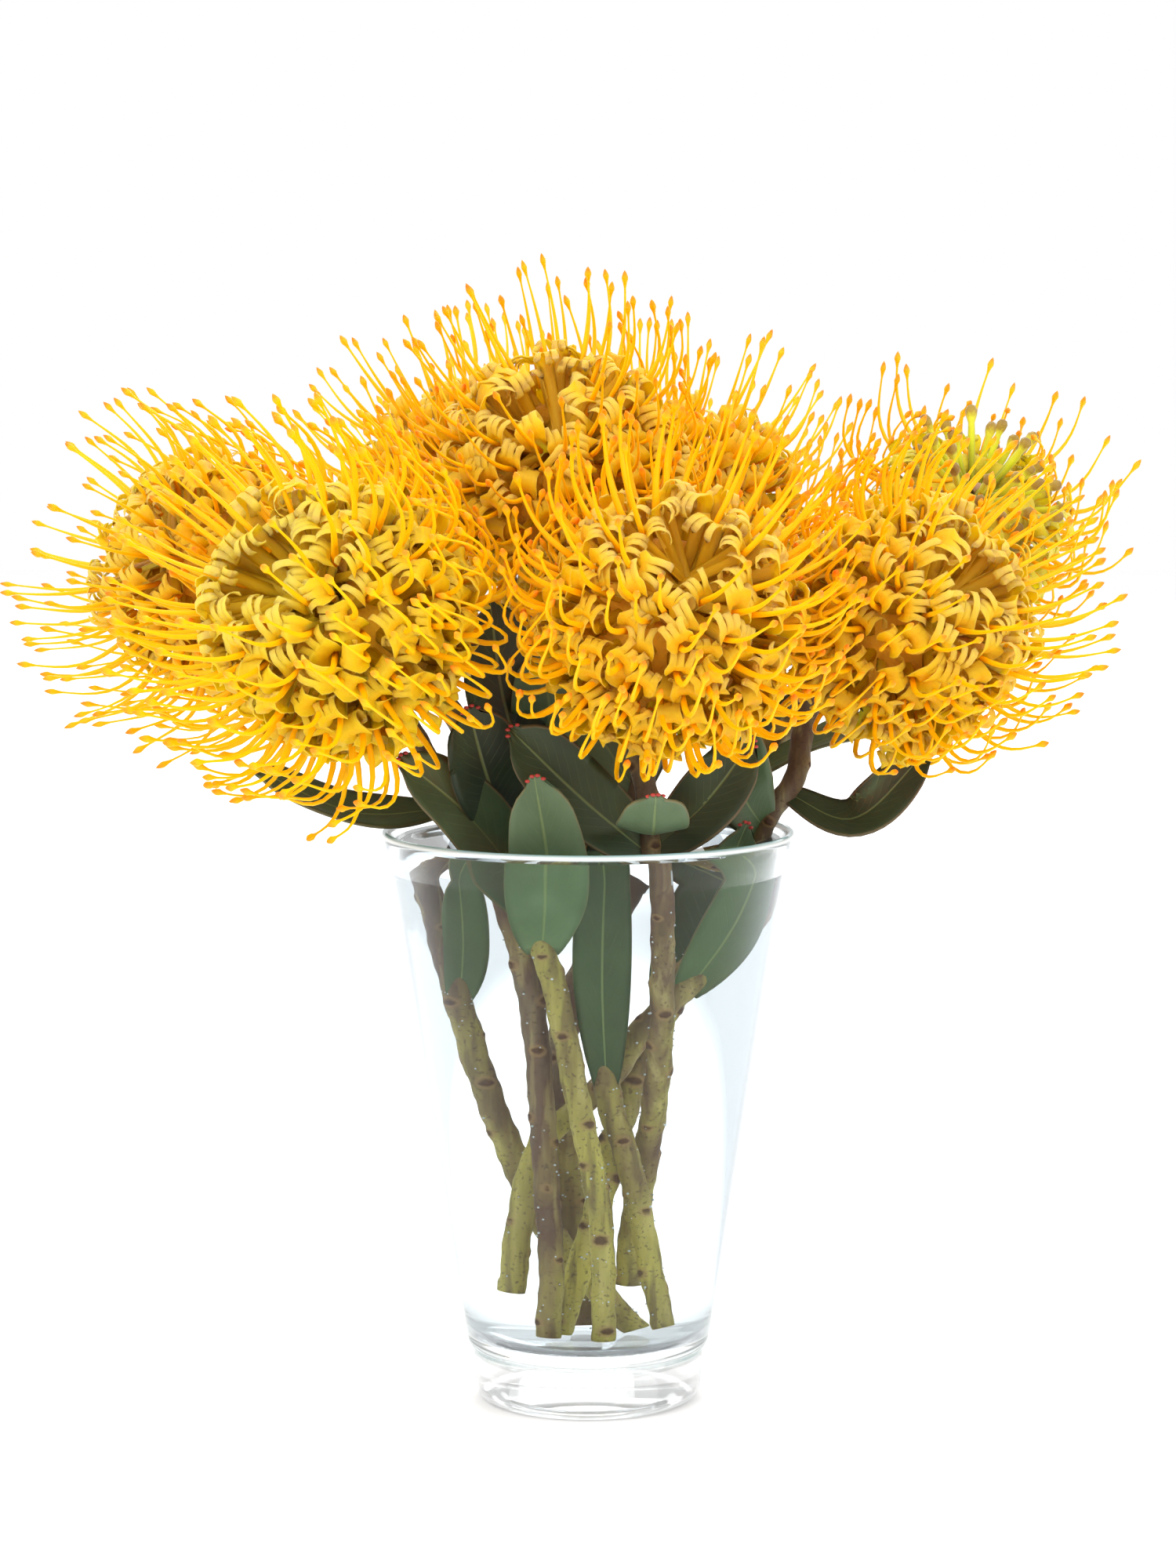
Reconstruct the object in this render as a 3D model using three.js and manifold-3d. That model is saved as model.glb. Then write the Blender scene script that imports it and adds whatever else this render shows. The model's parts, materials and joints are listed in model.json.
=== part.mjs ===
// A clear glass vase of cut pincushion proteas, in millimetres, +Z up.
// The origin is the centre of the vase's flat foot. -Y faces the viewer and +X is to the viewer's right.
import * as THREE from "three";
import { mergeVertices } from "three/addons/utils/BufferGeometryUtils.js";
import Module from "manifold-3d";

const manifold = await Module();
manifold.setup();

// ---- Driving dimensions ----

const vase = {
  height: 180,
  footRadius: 35,
  footHeight: 16,
  wallFoot: 37.4, // outer radius just above the foot
  taper: 0.157, // how much the outer radius grows for each millimetre of height
  lip: 1.6, // how far the rim stands out past the cone
  lipHeight: 7,
  wall: 2.8,
  floor: 20, // height of the inner floor, on its thick glass base
  floorRadius: 24,
  segments: 32,
};
const water = { level: 176, gap: 0.4 };
const stem = { radius: 3.1, topRadius: 3.6, sides: 6, hole: 0.5, step: 17 };
const leafBlade = {
  halfThickness: 0.5,
  fold: 0.22, // how far the edges stand above the midrib, as a share of half the width
  hole: 0.5, // gap between the blade and the water round it
  clearance: 1.4, // between the blade's middle plane and a style
  stations: [0, 0.16, 0.36, 0.58, 0.8, 1],
};
const head = {
  around: 15, // the head is a grid of points, and every third one carries a bump
  rows: 10,
  bump: 0.11,
  dip: 0.05,
  square: 2.6, // how boxy its outline is: at 2 it is a ball
  scale: 0.96, // how far it reaches on its axis and at its sides, in head radii
  keepOut: 1.13, // the ball that the styles of other heads keep out of, in head radii
  flatRow: 9, // the base is flat inside this row, where the stem meets it
  seat: 0.35, // gap between the stem's top and the flat base
};
const style = {
  count: 30, // on each head
  length: 44, // of the innermost ones, on a head of radius 38
  shorter: 6, // how much shorter the outermost ones are
  leastBend: 5, // degrees that the innermost ones bend up towards the head's axis
  moreBend: 140, // how much more the outermost ones do
  root: 0.78, // where it leaves the head, as a share of the head's radius
  highest: 30, // angle from the head's axis of the innermost and outermost ones, in degrees
  lowest: 122,
  stations: [0, 0.4, 0.72, 0.9, 1],
  radii: [1.2, 0.9, 0.8, 1.5, 0],
  clearance: 0.5,
};

// Each flower: its head's centre, the way it faces, its radius, its cut stem from the foot up, and its
// leaves. A leaf leaves its stem at a height, passes a point and ends at its tip, and its upper side
// looks the way it "faces".
const flowers = [
  {
    name: "front_centre",
    finish: "golden",
    centre: [23, -55, 247],
    faces: [0.2, -0.7, 0.68],
    radius: 38,
    stem: [
      [8.5, 16, 38],
      [10.4, 10, 60],
      [13, 3, 78],
      [16, -5, 97],
      [18.5, -14, 120],
      [19.5, -22, 145],
      [19.5, -28, 168],
      [17.5, -28, 195],
    ],
    leaves: [
      { from: 174, via: [-1, -37, 193], tip: [-24, -42, 216], width: 23, faces: [0.3, -1, 0.35] },
      { from: 183, via: [19.5, -52, 186], tip: [20, -68, 198.5], width: 22, faces: [0, -0.5, 1] },
      { from: 176, via: [36, -36, 193], tip: [50, -38, 212], width: 20, faces: [-0.2, -1, 0.3] },
    ],
  },
  {
    name: "front_left",
    finish: "lemon",
    centre: [-72, -51, 248],
    faces: [-0.55, -0.65, 0.5],
    radius: 40,
    stem: [
      [4, -14, 22],
      [4, -15, 45],
      [3, -15, 65],
      [0.4, -15, 83],
      [-3, -14.5, 103],
      [-6, -14, 122],
      [-10, -14.5, 143],
      [-19, -19, 168],
      [-29, -21, 194],
    ],
    leaves: [
      { from: 147, via: [-12, -41, 175], tip: [-16, -53, 203], width: 24, faces: [0, -1, 0.2] },
      { from: 158, via: [-35, -34, 187], tip: [-57, -49, 208], width: 23, faces: [0.2, -0.9, 0.5] },
      { from: 182, via: [-31, -33, 202], tip: [-36, -38, 222], width: 26, faces: [0.3, -0.9, 0.3] },
    ],
  },
  {
    name: "right",
    finish: "golden",
    centre: [96, -15, 244],
    faces: [0.55, -0.62, 0.5],
    radius: 37,
    stem: [
      [-17, 6, 36],
      [-15.5, 4, 58],
      [-10.5, 4, 84],
      [4, 6, 104],
      [13.2, 6, 122],
      [28, 7, 140],
      [42, 7, 158],
      [52, 6.8, 172],
      [56.2, 6, 183],
      [64, 5.5, 194],
    ],
    leaves: [
      { from: 190, via: [82, 0, 183], tip: [107, -5, 207], width: 16, faces: [0.1, -0.75, 0.7] },
      { from: 180, via: [47, -14, 196], tip: [46, -24, 218], width: 20, faces: [0, -1, 0.3] },
      { from: 132, via: [39, -6, 160], tip: [49, -14, 184], width: 18, faces: [0.4, -1, 0.2] },
    ],
  },
  {
    name: "back_centre",
    finish: "golden",
    centre: [-7, 20, 286],
    faces: [-0.2, -0.6, 0.78],
    radius: 38,
    stem: [
      [-10, -8, 22],
      [-9, -8, 45],
      [-10, -7, 70],
      [-11, -6, 95],
      [-12.5, -6, 120],
      [-16, -7, 145],
      [-21, -8, 168],
      [-18, 2, 196],
      [-9, 20, 225],
    ],
    leaves: [
      { from: 196, via: [-26, -10, 222], tip: [-30, -14, 253], width: 25, faces: [0.3, -0.9, 0.2] },
      { from: 204, via: [-12, -6, 217], tip: [-14, -13, 237], width: 23, faces: [-0.1, -1, 0.3] },
    ],
  },
  {
    name: "left",
    finish: "golden",
    centre: [-116, 18, 258],
    faces: [-0.85, -0.2, 0.4],
    radius: 35,
    stem: [
      [10.5, 10, 22],
      [0, 13, 40],
      [-9, 14, 57],
      [-15, 13, 76],
      [-21, 12, 97],
      [-27, 11, 122],
      [-32, 10, 145],
      [-37, 10, 168],
      [-46, 12, 192],
    ],
    leaves: [
      { from: 184, via: [-72, 0, 185], tip: [-104, -8, 200], width: 17, faces: [0.1, -0.5, 0.85] },
      { from: 127, via: [-29, 3, 149], tip: [-32, -8, 172], width: 13, faces: [0.2, -1, 0.2] },
      { from: 192, via: [-58, 32, 206], tip: [-72, 44, 224], width: 20, faces: [0.4, 0.5, 0.8] },
    ],
  },
  {
    name: "back_right",
    finish: "limeGold",
    centre: [121, 45, 274],
    faces: [0.25, -0.45, 0.85],
    radius: 31,
    stem: [
      [-7, 2, 22],
      [-3, 2, 40],
      [2, 3, 62],
      [6, 8, 85],
      [10, 12, 104],
      [16, 17, 125],
      [24, 22, 145],
      [33, 27, 165],
      [42, 31, 184],
      [62, 39, 206],
    ],
    leaves: [
      { from: 190, via: [74, 24, 205], tip: [97, 20, 212], width: 18, faces: [0, -0.4, 1] },
      { from: 184, via: [56, 52, 200], tip: [70, 66, 218], width: 21, faces: [0.3, 0.4, 0.9] },
      { from: 126, via: [22, 30, 150], tip: [28, 40, 176], width: 16, faces: [-0.3, -1, 0.3] },
    ],
  },
  {
    name: "far_right",
    finish: "golden",
    centre: [32, 86, 271],
    faces: [0.2, 0.35, 0.88],
    radius: 36,
    stem: [
      [0, 20, 23],
      [-1.5, 23, 40],
      [-2.7, 22, 58],
      [-4.5, 20.5, 83],
      [-6, 19, 108],
      [-3, 22, 130],
      [4, 28, 152],
      [12, 34, 172],
      [18, 46, 196],
    ],
    leaves: [
      { from: 178, via: [20, 58, 194], tip: [28, 76, 210], width: 22, faces: [-0.2, 0.4, 0.9] },
      { from: 186, via: [4, 52, 204], tip: [-4, 62, 222], width: 20, faces: [-0.3, -0.8, 0.5] },
    ],
  },
  {
    name: "far_left",
    finish: "golden",
    centre: [-40, 88, 280],
    faces: [-0.4, 0.35, 0.85],
    radius: 34,
    stem: [
      [20, -12, 26],
      [16, -10, 45],
      [11, -8, 75],
      [5, -4.5, 100],
      [2, 0, 125],
      [0, 6, 150],
      [0, 14, 172],
      [-6, 32, 196],
      [-16, 54, 221],
    ],
    leaves: [
      { from: 103, via: [3.5, -13, 142], tip: [5, -25, 188], width: 15, faces: [0, -1, 0.1] },
      { from: 176, via: [-14, 34, 192], tip: [-26, 52, 212], width: 21, faces: [0.4, 0.6, 0.7] },
      { from: 196, via: [-24, 54, 214], tip: [-42, 66, 232], width: 20, faces: [0.4, 0.4, 0.9] },
    ],
  },
];

const finishes = {
  glass: { color: 0xdcefee, roughness: 0.02, transparent: true, opacity: 0.3 },
  water: { color: 0xe8f4f6, roughness: 0.02, transparent: true, opacity: 0.2 },
  leafyStem: { color: 0x56704a, roughness: 0.6 },
  golden: { color: 0xf0a51a, roughness: 0.55 },
  lemon: { color: 0xe9c229, roughness: 0.55 },
  limeGold: { color: 0xc9b534, roughness: 0.6 },
};

// ---- Solids ----

const point = (list) => new THREE.Vector3(...list);
const radians = THREE.MathUtils.degToRad;

function solidOf(geometry) {
  const bare = geometry.clone();
  bare.deleteAttribute("normal");
  bare.deleteAttribute("uv");
  const merged = mergeVertices(bare, 1e-4);
  return new manifold.Manifold(
    new manifold.Mesh({
      numProp: 3,
      vertProperties: merged.attributes.position.array,
      triVerts: new Uint32Array(merged.index.array),
    }),
  );
}

// The largest of a solid's separate bodies: scraps that a cut or a join leaves loose are dropped.
function largestBody(solid) {
  return solid.decompose().reduce((a, b) => (b.volume() > a.volume() ? b : a));
}

function meshOf(solid, name, finish) {
  const { numProp, vertProperties, triVerts } = largestBody(solid).getMesh();
  const count = vertProperties.length / numProp;
  const positions = new Float32Array(count * 3);
  for (let i = 0; i < count; i++) {
    positions.set(vertProperties.subarray(i * numProp, i * numProp + 3), i * 3);
  }
  const geometry = new THREE.BufferGeometry();
  geometry.setAttribute("position", new THREE.BufferAttribute(positions, 3));
  geometry.setIndex(new THREE.BufferAttribute(triVerts, 1));
  geometry.computeVertexNormals();
  const mesh = new THREE.Mesh(geometry, new THREE.MeshStandardMaterial(finish));
  mesh.name = name;
  return mesh;
}

// A closed bar of a few sides that follows stations along a curve. Each station has its place, the two
// directions across the bar, and an outline that turns a corner's direction (x, z) into offsets along them.
function bentBar(sides, stations, pointed = false) {
  const last = stations.length - 1;
  const bar = new THREE.CylinderGeometry(pointed ? 0 : 1, 1, 1, sides, last);
  const corners = bar.attributes.position;
  for (let i = 0; i < corners.count; i++) {
    const station = stations[Math.round((corners.getY(i) + 0.5) * last)];
    const length = Math.hypot(corners.getX(i), corners.getZ(i)) || 1;
    const [across, out] = station.outline(corners.getX(i) / length, corners.getZ(i) / length);
    const place = station.place.clone();
    place.addScaledVector(station.side, across).addScaledVector(station.front, out);
    corners.setXYZ(i, place.x, place.y, place.z);
  }
  return solidOf(bar);
}

// ---- Vase and water ----

const wallRadius = (z) => vase.wallFoot + vase.taper * (z - vase.footHeight);
const innerRadius = (z) => wallRadius(z) - vase.wall;

function lathe(profile) {
  const geometry = new THREE.LatheGeometry(
    profile.map(([r, z]) => new THREE.Vector2(r, z)),
    vase.segments,
  );
  return geometry.rotateX(Math.PI / 2);
}

// The inner wall and floor from the lip down to the axis, moved in and up by a gap.
function innerProfile(top, gap) {
  const { floor, floorRadius } = vase;
  return [
    [innerRadius(top) - gap, top],
    [innerRadius(floor + 14) - gap, floor + 14],
    [innerRadius(floor + 14) - 2.6 - gap, floor + 5],
    [floorRadius + 6 - gap, floor + 1.4 + gap],
    [floorRadius - gap, floor + gap],
    [0, floor + gap],
  ];
}

function vaseSolid() {
  const { height, footRadius, footHeight, lip, lipHeight, wall } = vase;
  const rim = wallRadius(height) + lip;
  const outline = [
    [0, 0],
    [footRadius - 5, 0],
    [footRadius - 1.6, 1.5],
    [footRadius, 5],
    [footRadius + 0.9, footHeight - 2],
    [vase.wallFoot, footHeight],
    [wallRadius(height - lipHeight), height - lipHeight],
    [rim, height - 1.4],
    [rim - 0.8, height],
    [rim - wall + 0.6, height],
    ...innerProfile(height - lipHeight, 0),
  ];
  return solidOf(lathe(outline));
}

function waterSolid(holes) {
  const top = [0, water.level];
  const profile = [top, ...innerProfile(water.level, water.gap)].reverse();
  return solidOf(lathe(profile)).subtract(manifold.Manifold.union(holes));
}

// ---- Stems and leaves ----

function headPlacement(flower) {
  const axis = point(flower.faces).normalize();
  return {
    centre: point(flower.centre),
    axis,
    turn: new THREE.Quaternion().setFromUnitVectors(new THREE.Vector3(0, 1, 0), axis),
  };
}

// How far the head's surface is from its centre at a polar angle, as a share of its radius: a boxy ball,
// with a hollow at the top where the innermost florets lean apart, and a base drawn in towards the stem.
function headReach(angle) {
  const sum = Math.abs(Math.sin(angle)) ** head.square + Math.abs(Math.cos(angle)) ** head.square;
  const hollow = 0.5 * Math.exp(-((angle / radians(24)) ** 2));
  const base = 0.16 * THREE.MathUtils.smoothstep(angle, radians(110), radians(165));
  return head.scale * sum ** (-1 / head.square) - hollow - base;
}

const flatAngle = (Math.PI * head.flatRow) / head.rows;
const baseShare = headReach(flatAngle) * -Math.cos(flatAngle);

function stemCurve(flower) {
  const { centre, axis } = headPlacement(flower);
  const top = centre.clone().addScaledVector(axis, -flower.radius * baseShare - head.seat);
  const below = top.clone().addScaledVector(axis, -16);
  return new THREE.CatmullRomCurve3([...flower.stem.map(point), below, top], false, "centripetal");
}

function stemStations(curve, grow) {
  const count = Math.round(curve.getLength() / stem.step);
  const start = new THREE.Vector3(1, 0, 0);
  return Array.from({ length: count + 1 }, (_, i) => {
    const t = i / count;
    const tangent = curve.getTangentAt(t);
    const front = new THREE.Vector3().crossVectors(start, tangent).normalize();
    const side = new THREE.Vector3().crossVectors(tangent, front);
    const radius = THREE.MathUtils.lerp(stem.radius, stem.topRadius, t ** 3) + grow;
    return { place: curve.getPointAt(t), side, front, outline: (x, z) => [x * radius, z * radius] };
  });
}

function atHeight(curve, z) {
  const steps = 400;
  for (let i = 0; i <= steps; i++) {
    const place = curve.getPointAt(i / steps);
    if (place.z >= z) return place;
  }
  return curve.getPointAt(1);
}

function leafPath(curve, leaf) {
  return new THREE.CatmullRomCurve3([atHeight(curve, leaf.from), point(leaf.via), point(leaf.tip)]);
}

// Half the blade's width along its length, as a share of its widest: a narrow base and a blunt tip.
function leafOutline(t) {
  return THREE.MathUtils.lerp(0.26, 1, Math.sin(Math.PI * (0.02 + 0.86 * t)) ** 0.8);
}

function leafStations(curve, leaf, grow) {
  const facing = point(leaf.faces).normalize();
  return leafBlade.stations.map((t) => {
    const place = curve.getPointAt(t);
    const tangent = curve.getTangentAt(t);
    const side = new THREE.Vector3().crossVectors(tangent, facing).normalize();
    const front = new THREE.Vector3().crossVectors(side, tangent);
    const half = (leaf.width / 2) * leafOutline(t) + grow;
    const thick = leafBlade.halfThickness + grow;
    const outline = (x, z) => {
      if (x === 0 && z === 0) return [0, 0];
      const edge = Math.abs(x) > 0.5 ? Math.sign(x) * half : 0;
      return [edge, Math.sign(z) * thick + Math.abs(edge) * leafBlade.fold];
    };
    if (t === 1) place.addScaledVector(tangent, grow);
    return { place, side, front, outline };
  });
}

// The middle and both edges of the blade at even steps from its base to its tip.
function leafPoints(path, leaf) {
  const facing = point(leaf.faces).normalize();
  return Array.from({ length: 17 }, (_, i) => {
    const t = i / 16;
    const side = new THREE.Vector3().crossVectors(path.getTangentAt(t), facing).normalize();
    const half = (leaf.width / 2) * leafOutline(t);
    return [-1, -0.5, 0, 0.5, 1].map((share) => path.getPointAt(t).addScaledVector(side, share * half));
  }).flat();
}

// ---- What is already taken: a list of balls and of straight bars with round ends ----

const taken = [];

function gapTo(thing, a, b) {
  if (!thing.end) return distanceToSegment(thing.start, a, b);
  return segmentGap(thing.start, thing.end, a, b);
}

function distanceToSegment(p, a, b) {
  const line = new THREE.Vector3().subVectors(b, a);
  const t = THREE.MathUtils.clamp(new THREE.Vector3().subVectors(p, a).dot(line) / line.lengthSq(), 0, 1);
  return p.distanceTo(line.multiplyScalar(t).add(a));
}

// The closest distance between two straight segments.
function segmentGap(p, q, a, b) {
  const d1 = new THREE.Vector3().subVectors(q, p);
  const d2 = new THREE.Vector3().subVectors(b, a);
  const r = new THREE.Vector3().subVectors(p, a);
  const [aa, ee, bb, cc, ff] = [d1.lengthSq(), d2.lengthSq(), d1.dot(d2), d1.dot(r), d2.dot(r)];
  const across = aa * ee - bb * bb;
  const clamp = THREE.MathUtils.clamp;
  let s = across > 1e-9 ? clamp((bb * ff - cc * ee) / across, 0, 1) : 0;
  const t = clamp((bb * s + ff) / ee, 0, 1);
  s = clamp((bb * t - cc) / aa, 0, 1);
  return d1.multiplyScalar(s).add(p).distanceTo(d2.multiplyScalar(t).add(a));
}

function isClear(owner, a, b, radius) {
  const middle = a.clone().add(b).multiplyScalar(0.5);
  const reach = a.distanceTo(b) / 2 + radius;
  return taken.every(
    (thing) =>
      thing.owner === owner ||
      thing.middle.distanceTo(middle) > reach + thing.reach ||
      gapTo(thing, a, b) > radius + thing.radius,
  );
}

function take(owner, start, end, radius) {
  const middle = end ? start.clone().add(end).multiplyScalar(0.5) : start;
  const reach = (end ? start.distanceTo(end) / 2 : 0) + radius;
  taken.push({ owner, start, end, radius, middle, reach });
}

function clearOfVase(p, margin) {
  const r = Math.hypot(p.x, p.y);
  if (p.z > vase.height + margin) return true;
  return r < innerRadius(p.z) - margin || r > wallRadius(p.z) + vase.lip + margin;
}

// ---- Heads ----

// A ball with a hollow top and a flat base, with a blunt bump for each cluster of rolled-back florets.
// Each row of points is turned half a step from the one above, so that the bumps stand in a spiral.
function coreSolid(radius) {
  const { around, rows, bump, dip, flatRow } = head;
  const step = (2 * Math.PI) / around;
  const pole = new THREE.Vector3(0, 1, 0);
  const ball = new THREE.SphereGeometry(1, around, rows);
  const corners = ball.attributes.position;
  for (let i = 0; i < corners.count; i++) {
    const row = Math.floor(i / (around + 1));
    const column = i % (around + 1);
    const place = new THREE.Vector3().fromBufferAttribute(corners, i).applyAxisAngle(pole, (-row * step) / 2);
    const raised = (row + column) % 3 === 0 ? bump : -dip;
    const share = headReach((Math.PI * row) / rows) + (row > 1 && row < flatRow ? raised : 0);
    place.multiplyScalar(radius * (row === rows ? baseShare : share));
    corners.setXYZ(i, place.x, place.y, place.z);
  }
  return solidOf(ball);
}

// One style, as the points of its stations in the head's own frame, with +Y along the head's axis.
// It leaves the head outwards and bends up towards the axis, the more the lower it grows.
function stylePoints(flower, index, change) {
  const share = (index + 0.5) / style.count;
  const highest = Math.cos(radians(style.highest));
  const lowest = Math.cos(radians(style.lowest));
  const polar = Math.acos(THREE.MathUtils.lerp(highest, lowest, share));
  const bearing = index * radians(137.508);
  const low = polar / radians(120);
  const bend = radians(style.leastBend + low ** 1.6 * style.moreBend) * change.bend;
  const length = ((style.length - style.shorter * low) * flower.radius * change.length) / 38;
  const steps = 20;
  const place = new THREE.Vector3(Math.cos(bearing), 0, Math.sin(bearing)).multiplyScalar(Math.sin(polar));
  place.setY(Math.cos(polar)).multiplyScalar(flower.radius * style.root);
  const trail = [place.clone()];
  for (let i = 0; i < steps; i++) {
    const s = (i + 0.5) / steps;
    const lean = polar + radians(7) - bend * THREE.MathUtils.smoothstep(s, 0.12, 0.8);
    const turned = bearing + change.swing * s;
    place.x += Math.sin(lean) * Math.cos(turned) * (length / steps);
    place.y += Math.cos(lean) * (length / steps);
    place.z += Math.sin(lean) * Math.sin(turned) * (length / steps);
    trail.push(place.clone());
  }
  return style.stations.map((t) => trail[Math.round(t * steps)]);
}

function styleSolid(points, bearing) {
  const last = points.length - 1;
  const stations = points.map((place, i) => {
    const tangent = new THREE.Vector3().subVectors(points[Math.min(i + 1, last)], points[Math.max(i - 1, 0)]);
    tangent.normalize();
    const across = new THREE.Vector3(-Math.sin(bearing), 0, Math.cos(bearing));
    const front = new THREE.Vector3().crossVectors(across, tangent).normalize();
    const side = new THREE.Vector3().crossVectors(tangent, front);
    const radius = style.radii[i];
    return { place, side, front, outline: (x, z) => [x * radius, z * radius] };
  });
  return bentBar(3, stations, true);
}

// A style that would meet something grows shorter, swings sideways or bends more or less, in this order.
const changes = [1, 0.86, 0.72].flatMap((length) =>
  [0, 0.35, -0.35, 0.7, -0.7, 1.1, -1.1].flatMap((swing) =>
    [1, 1.25, 0.75, 1.5, 0.5].map((bend) => ({ length, swing, bend })),
  ),
);

function growStyles(flower) {
  const { centre, turn } = headPlacement(flower);
  const made = [];
  for (let index = 0; index < style.count; index++) {
    for (const change of changes) {
      const points = stylePoints(flower, index, change);
      const world = points.map((p) => p.clone().applyQuaternion(turn).add(centre));
      const clear = world.slice(1).every((p, i) => {
        const radius = Math.max(style.radii[i], style.radii[i + 1]) + style.clearance / 2;
        return clearOfVase(p, 2) && isClear(flower.name, world[i], p, radius);
      });
      if (!clear) continue;
      world.slice(1).forEach((p, i) => {
        const radius = Math.max(style.radii[i], style.radii[i + 1]) + style.clearance / 2;
        take(flower.name, world[i], p, radius);
      });
      made.push(styleSolid(points, index * radians(137.508)));
      break;
    }
  }
  return made;
}

// ---- Assembly ----

const arrangement = new THREE.Group();
arrangement.add(meshOf(vaseSolid(), "vase", finishes.glass));

const curves = flowers.map(stemCurve);
flowers.forEach((flower, i) => {
  const stations = stemStations(curves[i], 0);
  stations.slice(1).forEach((s, k) => take(flower.name, stations[k].place, s.place, stem.radius + 0.2));
  take(flower.name, point(flower.centre), null, flower.radius * head.keepOut + 0.3);
});

const holes = [];
flowers.forEach((flower, i) => {
  let plant = bentBar(stem.sides, stemStations(curves[i], 0));
  let hole = bentBar(stem.sides, stemStations(curves[i], stem.hole));
  for (const leaf of flower.leaves) {
    const path = leafPath(curves[i], leaf);
    const points = leafPoints(path, leaf);
    points.forEach((p) => take(flower.name, p, null, leafBlade.clearance));
    plant = plant.add(bentBar(6, leafStations(path, leaf, 0)));
    const wet = points.some((p) => p.z < water.level + 2);
    if (wet) hole = hole.add(bentBar(6, leafStations(path, leaf, leafBlade.hole)));
  }
  holes.push(hole);
  arrangement.add(meshOf(plant, `stem_${flower.name}`, finishes.leafyStem));
});
arrangement.add(meshOf(waterSolid(holes), "water", finishes.water));

flowers.forEach((flower) => {
  const { centre, turn } = headPlacement(flower);
  const solid = manifold.Manifold.union([coreSolid(flower.radius), ...growStyles(flower)]);
  const bloom = meshOf(solid, `bloom_${flower.name}`, finishes[flower.finish]);
  bloom.position.copy(centre);
  bloom.quaternion.copy(turn);
  arrangement.add(bloom);
});

export default arrangement;
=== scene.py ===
import json
import random
from math import acos, atan2, cos, exp, pi, radians, sin, sqrt, tau

import bmesh
import bpy
from mathutils import Matrix, Vector
from mathutils.geometry import interpolate_bezier

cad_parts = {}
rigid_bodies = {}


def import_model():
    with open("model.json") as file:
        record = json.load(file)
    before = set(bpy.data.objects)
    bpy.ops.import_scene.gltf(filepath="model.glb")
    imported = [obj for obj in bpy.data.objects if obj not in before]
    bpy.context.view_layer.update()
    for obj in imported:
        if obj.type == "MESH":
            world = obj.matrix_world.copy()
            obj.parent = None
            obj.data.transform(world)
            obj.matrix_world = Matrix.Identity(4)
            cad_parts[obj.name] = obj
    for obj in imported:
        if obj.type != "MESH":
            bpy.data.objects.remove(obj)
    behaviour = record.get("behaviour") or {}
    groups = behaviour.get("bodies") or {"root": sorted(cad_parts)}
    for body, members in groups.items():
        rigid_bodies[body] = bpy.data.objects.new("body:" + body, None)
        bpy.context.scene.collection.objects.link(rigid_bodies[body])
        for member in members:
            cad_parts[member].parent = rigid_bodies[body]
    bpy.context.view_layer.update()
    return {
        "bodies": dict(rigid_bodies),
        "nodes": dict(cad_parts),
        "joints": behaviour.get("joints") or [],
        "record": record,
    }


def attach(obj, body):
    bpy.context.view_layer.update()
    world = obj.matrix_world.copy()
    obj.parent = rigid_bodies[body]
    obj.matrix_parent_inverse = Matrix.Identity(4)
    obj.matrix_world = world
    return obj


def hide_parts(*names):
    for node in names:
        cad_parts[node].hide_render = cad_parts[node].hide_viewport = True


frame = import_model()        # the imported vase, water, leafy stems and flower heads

mm = 0.001               # everything below is in millimetres until a piece is finished
goldenAngle = radians(137.508)
usualRadius = 38         # of a flower head; the sizes of its pieces are for this one


# ---- camera ----

cameraSetup = {
    "distance": 1340,    # from the vase's axis, towards -Y
    "height": 349,
    "tilt": 6.6,         # degrees below level
    "lens": 99.6,
}


def makeCamera():
    data = bpy.data.cameras.new("camera")
    data.lens = cameraSetup["lens"]
    data.clip_end = 30
    camera = bpy.data.objects.new("camera", data)
    camera.location = (0, -cameraSetup["distance"] * mm, cameraSetup["height"] * mm)
    camera.rotation_euler = (radians(90 - cameraSetup["tilt"]), 0, 0)
    bpy.context.scene.collection.objects.link(camera)
    bpy.context.scene.camera = camera


makeCamera()
print("camera placed")


# ---- the flowers ----

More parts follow.
